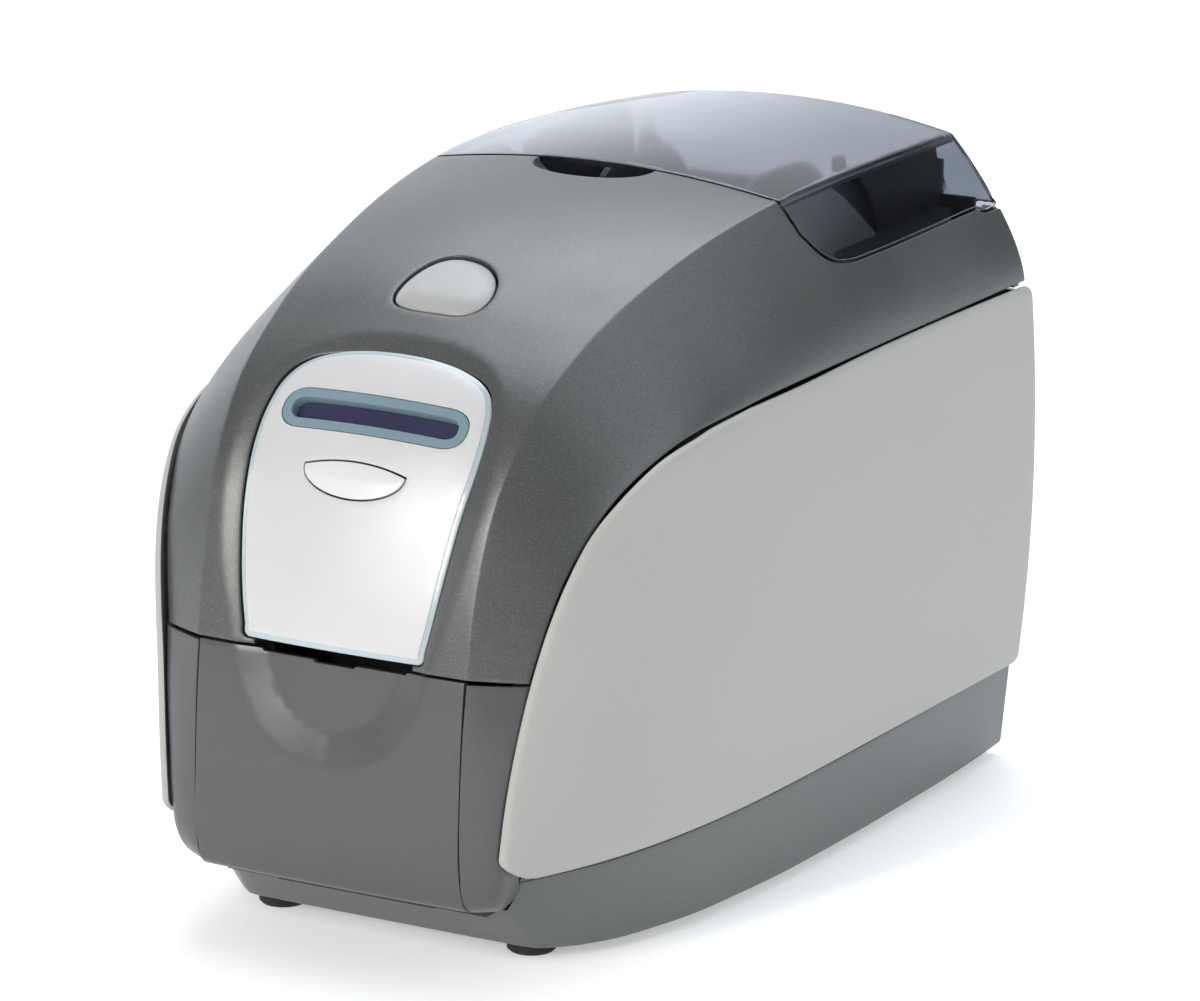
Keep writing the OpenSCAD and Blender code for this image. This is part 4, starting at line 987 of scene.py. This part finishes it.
# ---- lower front corner ----
bz = [104.9, 86, 65, 46, 37, 32.6, 29, 26, 24, 23.4][::-1]
bD = [[52.8, -157.1], [52.5, -159.5], [52.3, -161], [52.2, -161.4], [52.2, -160.7], [52.2, -160], [52.2, -158.3], [52.2, -154.5], [52.2, -147], [52.2, -139]][::-1]
bM = [[62.6, -152.8], [61.4, -156.4], [60, -158.8], [59, -159.8], [58.4, -159], [57.8, -157.8], [57, -155.8], [56.1, -152], [54.8, -145], [53.3, -138.2]][::-1]
bG = [[71.6, -147.6], [69.4, -151.6], [66.6, -155], [65, -156.2], [64.3, -155.2], [63.5, -153.6], [62.2, -151.4], [60, -147.8], [57, -142], [54.4, -137.4]][::-1]
bH = [[73.4, -141], [71, -144], [68, -146.4], [65.2, -147.4], [64.4, -143.6], [63, -141], [61, -139], [58.2, -137.6], [56, -136.4], [55, -136]][::-1]
_bz = chord([[z, d[1]] for z, d in zip(bz, bD)])
BC = [Curve(_bz, b) for b in (bD, bM, bG, bH)]
BZ = Curve(_bz, bz)


def bezel_map(P):
    k, v = P[:, 0] / 7.0, P[:, 1]
    Q = np.stack([c(v) for c in BC], 1)
    G = np.stack([Q[:, 1] - Q[:, 0], (Q[:, 2] - Q[:, 0]) / 2, (Q[:, 3] - Q[:, 1]) / 2, Q[:, 3] - Q[:, 2]], 1)
    i = np.clip(np.floor(k).astype(int), 0, 2)
    u = (k - i)[:, None]
    r = np.arange(len(k))
    q = ((2 * u**3 - 3 * u**2 + 1) * Q[r, i] + (u**3 - 2 * u**2 + u) * G[r, i] + (3 * u**2 - 2 * u**3) * Q[r, i + 1] + (u**3 - u**2) * G[r, i + 1])
    return np.stack([q[:, 0], q[:, 1], BZ(v)], -1)


def bezel_piece():
    top = _bz[-1]
    outer = dense(np.array([[0.0, 0.0], [21.0, 0.0], [21.0, top], [0.0, top]]), 1.4)
    return sheet([outer], bezel_map, step=2.0, wall=1.6, edge=0.14)


# ---- side panels ----
pe = [[66.6, -145.9, 36.6], [66.9, -151.6, 39.2], [67.3, -156.6, 42.2], [67.6, -159, 47], [68.9, -157.9, 61.4], [73.1, -152.5, 95],
      [76.3, -148.5, 113], [79.2, -144.1, 127], [82.3, -137.7, 140.5], [85.4, -129.2, 152.4], [89.3, -117.1, 162.3], [92.5, -99.2, 170.9], [94.7, -69.4, 176.6],
      [96, -42, 178.3], [96.8, -7, 179], [97, 29, 180], [97, 93, 180.4], [96.4, 159, 179.6]]
_ps = chord([[p[1], p[2]] for p in pe])
PE = Curve(_ps, pe)
PZ = Curve([p[2] for p in pe[3:15]], pe[3:15])


def panel_map(P):
    y, z = P[:, 0], P[:, 1]
    w = np.where(z < 125, 98.9 - 5.2 * ((125 - z) / 83) ** 2, 98.9 - 2.2 * ((z - 125) / 55) ** 2)
    e = PZ(z)
    low = z < 47
    e[low] = np.stack([np.full(low.sum(), 67.6), -159 + 13 * ((47 - z[low]) / 10) ** 2, z[low]], -1)
    T = PE(np.linspace(_ps[8], _ps[13], 400))
    top = z > pe[8][2]
    e[top] = np.stack([np.interp(z[top], T[:, 2], T[:, k]) for k in range(3)], -1)
    y2 = np.maximum(y, e[:, 1])
    f = np.maximum(0, (60 - y2) / (60 - e[:, 1]))
    return np.stack([w - (w - e[:, 0]) * f**4, y, z], -1)


def panel_piece():
    Z = np.linspace(36.6, 47, 10)[:-1]
    low = np.stack([-159 + 13 * ((47 - Z) / 10) ** 2, Z], -1)
    Z = np.arange(47, pe[8][2] - 0.8, 1.5)
    mid = np.stack([PZ(Z)[:, 1], Z], -1)
    edge = np.concatenate([low, mid, PE(np.arange(_ps[8], _ps[-1] - 5, 1.5))[:, 1:3]])
    top_rear = [[159 - 4.2 + 4.2 * math.sin(a), 179.6 - 4.2 + 4.2 * math.cos(a)] for a in np.radians(np.arange(0, 91, 15))]
    low_rear = [[159 - 4.2 + 4.2 * math.cos(a), 37.7 + 4.2 - 4.2 * math.sin(a)] for a in np.radians(np.arange(0, 91, 15))]
    bottom = [[-142.4 + 301.4 * u, 35.6 + 2.1 * u] for u in (0.96, 0.0)]
    outer = dense(np.concatenate([edge, top_rear, low_rear, bottom]), 1.6)[::-1]
    outer = outer[np.linalg.norm(outer - np.roll(outer, -1, axis=0), axis=1) > 0.02]
    V, F = sheet([outer], panel_map, step=3.4, wall=2.4, edge=2.1)
    return V, F


# ---- base ----
base_lo = [[0, -122, 4], [28, -122, 4], [51.5, -121.7, 4], [57.6, -120.8, 4], [63, -116.2, 4], [68.4, -110.5, 4], [75.7, -97, 4], [81, -79, 4],
           [85.2, -59, 4], [87.4, -35, 4], [89, -10, 4], [89.3, 20, 4], [89, 50, 4], [88.1, 80, 4], [87, 110, 4], [85, 142, 4], [82.8, 165, 4]]
base_hi = [[0, -138, 23], [28, -138, 23], [47, -137.3, 22.6], [54.6, -135.8, 21.4], [58.8, -138.4, 26.8], [63.2, -141, 34], [74.2, -116.4, 34.4], [80.2, -97.2, 34.6],
           [84.6, -74, 34.8], [87.6, -46, 35], [89.2, -18, 35.2], [89.8, 14, 35.5], [90, 46, 35.7], [89.8, 78, 36], [89.2, 110, 36.3], [87.8, 142, 36.6], [86.3, 165, 37]]


def base_piece():
    parts = [(0, 3, 14), (3, 5, 7), (5, 16, 60)]

    def row(tab):
        out = []
        for a, b, n in parts:
            P = np.array(tab[a:b + 1], float)
            c = Curve(np.arange(a, b + 1), P)(np.linspace(a, b, n + 1))
            out.append(c if not len(out) else c[1:])
        return np.concatenate(out)

    lo, hi = row(base_lo), row(base_hi)

    def level(v, t=0.0, z=None):
        o = lo * (1 - v) + hi * v
        # a soft belly along the side
        d = np.gradient(o, axis=0)[:, :2]
        d /= np.linalg.norm(d, axis=1, keepdims=True)
        n = np.stack([-d[:, 1], d[:, 0]], -1)
        n[0] = [0, 1]
        q = o.copy()
        q[:, :2] += n * t
        q[-1] = o[-1] - [t, t, 0]
        if z is not None:
            q[:, 2] = z
        left = (q[1:] * [-1, 1, 1])[::-1]
        return np.concatenate([left, q])

    L = [level(0, 1.6, 4.0), level(0, 0.9, 4.0), level(0.0, 0.35, 4.12), level(0.02, 0.08), level(0.06)]
    L += [level(v) for v in np.linspace(0.14, 0.94, 9)]
    # an upstand behind the side panels closes the seam from inside
    rise = np.where(np.arange(len(hi)) >= 21, 8.5, 0.0)
    rise[21] = 5.0
    rise[-2:] = 0.0
    flare = np.interp(np.arange(len(hi)), [20.9, 21, 26, 30], [0.0, 0.042, 0.042, 0.0])
    rise, flare = (np.concatenate([w[1:][::-1], w]) for w in (rise, flare))

    def upstand(t):
        q = level(1.0, t)
        q[:, 0] *= 1 + flare
        q[:, 2] += rise
        return q

    L += [level(0.975, 0.06), level(0.992, 0.25), level(1.0, 0.6), upstand(0.9), upstand(2.0), level(1.0, 2.6), level(0.5, 2.6), level(0.06, 2.6, 6.5)]
    V, F = loft(L, True, True)
    return V, flip_faces(F)


# ---- fascia ----
def fas_map(h0):
    def f(P):
        return rib(P[:, 1], P[:, 0], fas_h(P[:, 0]) + h0)
    return f


DSLOT = slot(36.3, 7.6)
MOONG = moon(0.55)


def on_fascia(st, L):
    return np.stack([L[:, 0], to_s(st, L, lambda x: fas_h(x))], -1)


def fascia_piece():
    return sheet([fas_loop(-1.7, 1.3), on_fascia(DIS, DSLOT), on_fascia(SEL, dense(MOONG, 1.2))], fas_map(0.1), step=2.2, wall=1.1, edge=[0.35, 0.12, 0.3])


def surround_piece():
    return sheet([fas_loop(0.25, 1.3), on_fascia(DIS, DSLOT), on_fascia(SEL, dense(moon(0.6), 1.2))], fas_map(-0.2), step=2.4, wall=2.4, edge=[0.6, 0.1, 0.1])


def ring_piece():
    return sheet([on_fascia(DIS, slot(35.95, 7.3)), on_fascia(DIS, slot(32.5, 3.95))], fas_map(-0.12), step=1.2, wall=4.4, edge=[0.25, 0.35])


def window_piece():
    c, T, N = DIS
    out = dense(slot(32.3, 3.75), 1.4)

    def fmap(P):
        d = 4.35 - 0.5 * (P[:, 0] / 32) ** 2 * 0
        q = rib(to_s(DIS, P, lambda x: fas_h(x)), P[:, 0], fas_h(P[:, 0]) - 3.9)
        return q
    return sheet([out], fmap, step=1.6, wall=1.4, edge=0.2)


def button_piece():
    out = dense(moon(0.0), 1.0)

    def fmap(P):
        x, y = P[:, 0], P[:, 1]
        s = to_s(SEL, P, lambda q: fas_h(q))
        # two facets that meet in a soft line below the upper edge
        line = 0.9 - 3.4 * (1 - (x / 20) ** 2) * 0.25
        h = 0.35 + 0.045 * np.maximum(0, line - y) * -1 + 0.11 * np.minimum(0, line - y)
        return rib(s, x, fas_h(x) + h + 0.25)
    return sheet([out], fmap, step=1.1, wall=3.6, edge=0.45)


def release_piece():
    out = pebble(0.0)

    def fmap(P):
        s = to_s(REL, P, lambda q: 0 * q)
        d = np.clip(seg_dist(P, out) / 9.0, 0, 1)
        h = -0.9 + 2.7 * (1 - (1 - d) ** 2.4) - 0.35 * np.clip(P[:, 1] / 15, -1, 1)
        return rib(s, P[:, 0], h)

    def inner(P):
        s = to_s(REL, P, lambda q: 0 * q)
        return rib(s, P[:, 0] * 1.0, -6.5)
    return sheet([out], fmap, step=1.3, wall=6, edge=0.5, inner_map=inner)


# ---- feeder deck, guides and cheeks ----
def slab(poly, a0, a1, bev=0.35, axis="z"):
    """A closed outline pushed from a0 to a1 along an axis, its two faces' edges eased by bev."""
    P = np.array(poly, float)
    x, y = P[:, 0], P[:, 1]
    if (x * np.roll(y, -1) - y * np.roll(x, -1)).sum() < 0:
        P = P[::-1]
    P = dense(P, 4.0)
    Q = offset(P, bev)
    loops = []
    for q, a in ((Q, a0), (P, a0 + bev), (P, a1 - bev), (Q, a1)):
        c = np.full(len(q), a)
        loops.append(np.stack([q[:, 0], q[:, 1], c], -1) if axis == "z" else np.stack([c, q[:, 0], q[:, 1]], -1))
    return loft(loops)


def rect(x0, y0, x1, y1):
    return [[x0, y0], [x1, y0], [x1, y1], [x0, y1]]


deck_z = 204.4
deck_side = [[32, 28], [74, 28], [78.6, 34], [78.6, 130], [72, 138], [68, 147.4], [60, 147.4], [58, 138], [32, 138]]
cheek_back = [[100, deck_z + 1], [99.9, 207], [98.6, 211.5], [95.2, 218], [90.4, 224], [85.4, 228.6], [80.6, 231.4], [126, 231], [142.2, 229.6],
              [143.6, 224.6], [146.8, 223.6], [147, 214], [147, deck_z + 1]]
cheek_front = [[30, deck_z + 1], [95, deck_z + 1], [94, 207], [86.4, 213.3], [79, 218.9], [71, 224.6], [61.6, 230], [54, 232], [30, 232]]
# painted shade: outline of black plates set behind the wedge-shaped gap between the front and back cheeks, standing
# in for the shade in that gap
gap_shade_outline = [[74, deck_z + 2.6], [106, deck_z + 2.6], [106, 228], [98, 230.4], [66, 230.4], [70, 222]]


def feeder_deck():
    one = [slab(deck_side, deck_z, deck_z + 2.6), slab(cheek_back, 62, 64.2, 0.3, "x")]
    one += [slab(rect(36, y0, 40, y1), 118, z1, 0.4) for y0, y1, z1 in ((52, 55, 222), (118, 121, 226), (84, 86.4, 214))]
    both = one + [mirrored(*q) for q in one]
    return join(both + [slab(rect(-34, 28, 34, 38.6), deck_z, deck_z + 2.6), slab(rect(-34, 135.6, 34, 138), deck_z, deck_z + 2.6),
                        slab(rect(-59.6, 145.6, 59.6, 147.0), deck_z, 209.4, 0.3),
                        slab(rect(63.6, 145.4, 78, 147.0), deck_z, 211.2, 0.3), slab(rect(-78, 145.4, -63.6, 147.0), deck_z, 211.2, 0.3)])


# painted shade: black plates behind the gap between the cheeks, so that the gap reads as shade
def gap_shade_plates():
    q = slab(gap_shade_outline, 60, 61.5, 0.3, "x")
    return join([q, mirrored(*q)])


def front_cheeks():
    q = slab(cheek_front, 64.6, 66.8, 0.3, "x")
    return join([q, mirrored(*q)])


# ---- folded edge of the lid, seen through it ----
def lid_fold():
    S = np.linspace(float(lid_side(0.8)[0][1]) + 0.8, s_end - 2.2, 90)
    w = RDG(S)[:, 0]
    rows = []
    for du, dn in ((-1.5, 2.15), (0.0, 2.5), (1.7, 2.15), (1.2, 3.0), (-0.6, 3.1)):
        P = casing(np.stack([w + du, S], -1), dd=False)
        # straight down into the lid from its top face
        n = rnorm(S)
        P[:, 1] -= n[:, 0] * dn
        P[:, 2] -= n[:, 1] * dn
        P[:, 0] -= 0.9 * (du > 0) * dn / 2
        rows.append(P)
    L = np.stack(rows, 1)
    V, F = loft([q for q in L])
    if signed_volume(V, F) < 0:
        F = flip_faces(F)
    q = (V, F)
    return join([q, mirrored(*q)])


def signed_volume(V, F):
    t = 0.0
    for f in F:
        for k in range(1, len(f) - 1):
            t += np.dot(V[f[0]], np.cross(V[f[k]], V[f[k + 1]]))
    return t / 6


cover = piece("top_cover_shell", cover_piece(), "top_cover", "cover", angle=38)
lid = piece("smoke_lid_shell", lid_piece(), "smoke_lid", "lid", angle=38)
door = piece("front_door_shell", door_piece(), "front_door", "door", angle=38)
bz_vf = bezel_piece()
piece("right_corner_shell", bz_vf, "right_corner_bezel", "chassis")
piece("left_corner_shell", mirrored(*bz_vf), "left_corner_bezel", "chassis")
pn_vf = panel_piece()
piece("right_panel_shell", pn_vf, "right_side_panel", "chassis", angle=50)
piece("left_panel_shell", mirrored(*pn_vf), "left_side_panel", "chassis", angle=50)
piece("base_shell", base_piece(), "base_tray", "chassis", angle=30)
piece("fascia_face", fascia_piece(), "fascia_panel", "cover")
piece("fascia_rim", surround_piece(), "fascia_surround", "cover")
piece("display_frame", ring_piece(), "display_ring", "cover")
piece("display_pane", window_piece(), "display_window", "cover")
piece("select_key", button_piece(), "select_button", "select")
piece("release_key", release_piece(), "release_button", "release")
piece("feeder_deck", feeder_deck(), "feeder_guides", "chassis", angle=40)
piece("feeder_cheeks", front_cheeks(), None, "chassis", "panel_plastic", angle=40)
# painted shade: black plates that stand in for the shade in the gap between the cheeks
piece("feeder_gap_shade_plates", gap_shade_plates(), None, "chassis", "black_plastic", angle=40)
piece("lid_fold_edge", lid_fold(), None, "lid", "lid_arm_plastic", angle=60)

# =====================================================================
#  stage, camera, light
# =====================================================================
az, el, dist = rad(30.706), rad(15.396), 2.569391
back = Vector((math.sin(az) * math.cos(el), -math.cos(az) * math.cos(el), math.sin(el)))
right = Vector((math.cos(az), math.sin(az), 0))
upv = back.cross(right)
target = right * 0.008917 + upv * 0.118821
cd = bpy.data.cameras.new("camera")
cam = bpy.data.objects.new("camera", cd)
scene.collection.objects.link(cam)
cd.sensor_fit = "HORIZONTAL"
cd.sensor_width = 36
cd.lens = 7277.551 / 1200 * 36
cd.clip_end = 60
cam.location = target + back * dist
cam.rotation_euler = Matrix((right, upv, back)).transposed().to_euler()
scene.camera = cam

fm = bpy.data.meshes.new("floor")
S = 7.0
fm.from_pydata([(-S, -S, 0), (S, -S, 0), (S, S, 0), (-S, S, 0)], [], [(0, 1, 2, 3)])
floor = bpy.data.objects.new("floor", fm)
scene.collection.objects.link(floor)
fmat, nt, p, tc = new_material("floor_paper")
n = noise(nt, tc, 3, 2)
nt.links.new(ramp(nt, n.outputs["Fac"], [(0.3, (0.84, 0.84, 0.84)), (0.7, (0.85, 0.85, 0.85))]).outputs["Color"], p.inputs["Base Color"])
p.inputs["Roughness"].default_value = 0.9
p.inputs["Specular IOR Level"].default_value = 0.1
p.inputs["Emission Color"].default_value = (1, 1, 1, 1)
p.inputs["Emission Strength"].default_value = 0.36
fm.materials.append(fmat)

scene.view_settings.view_transform = "Standard"
w = bpy.data.worlds.new("studio")
scene.world = w
w.use_nodes = True
wn = w.node_tree
wn.nodes.clear()
wo = wn.nodes.new("ShaderNodeOutputWorld")
bg = wn.nodes.new("ShaderNodeBackground")
tcw = wn.nodes.new("ShaderNodeTexCoord")


def lobe(direction, edge, gain, before=None):
    """Adds a soft patch of light (or of shade, where gain is negative) round a direction of the sky."""
    d = Vector(direction).normalized()
    v = wn.nodes.new("ShaderNodeVectorMath")
    v.operation = "DOT_PRODUCT"
    v.inputs[1].default_value = d
    wn.links.new(tcw.outputs["Generated"], v.inputs[0])
    m = wn.nodes.new("ShaderNodeMapRange")
    m.interpolation_type = "SMOOTHSTEP"
    for k, q in zip(("From Min", "From Max", "To Min", "To Max"), (edge, 1.0, 0.0, gain)):
        m.inputs[k].default_value = q
    wn.links.new(v.outputs["Value"], m.inputs["Value"])
    a = wn.nodes.new("ShaderNodeMath")
    a.operation = "ADD"
    wn.links.new(m.outputs[0], a.inputs[0])
    if before is None:
        a.inputs[1].default_value = SKY
    else:
        wn.links.new(before, a.inputs[1])
    return a.outputs[0]


SKY = 0.31
g = lobe((-0.47, 0.83, 0.25), 0.70, 0.30)
g = lobe((-0.36, 0.52, 0.77), 0.80, 0.45, g)
g = lobe((0.44, 0.80, 0.40), 0.88, -0.45, g)
g = lobe((-0.75, -0.05, 0.66), 0.75, -0.10, g)
g = lobe((-0.85, 0.50, 0.00), 0.76, 1.40, g)
g = lobe((0.98, 0.10, 0.05), 0.70, 1.30, g)
g = lobe((0.60, 0.44, 0.67), 0.78, 1.00, g)
low = wn.nodes.new("ShaderNodeMath")
low.operation = "MAXIMUM"
wn.links.new(g, low.inputs[0])
low.inputs[1].default_value = 0.04
bg.inputs["Color"].default_value = (0.89, 0.94, 1.0, 1)
wn.links.new(low.outputs[0], bg.inputs["Strength"])
wn.links.new(bg.outputs[0], wo.inputs[0])


def area(name, loc, look, size, power, color=(1, 1, 1)):
    d = bpy.data.lights.new(name, "AREA")
    d.shape = "RECTANGLE"
    d.size, d.size_y = size
    d.energy = power
    d.color = color
    o = bpy.data.objects.new(name, d)
    scene.collection.objects.link(o)
    o.location = loc
    o.rotation_euler = (Vector(look) - Vector(loc)).to_track_quat("-Z", "Y").to_euler()
    return o


area("top_box", (-0.35, 0.95, 2.3), (0, 0, 0.1), (1.9, 1.9), 44, (0.88, 0.935, 1.0))
area("front_strip", (-0.45, -2.4, 1.15), (0, 0, 0.1), (0.26, 1.25), 42, (1.0, 0.97, 0.93))
area("left_strip", (-2.2, -1.3, 0.5), (0, 0, 0.1), (0.34, 1.2), 4, (1.0, 0.99, 0.98))
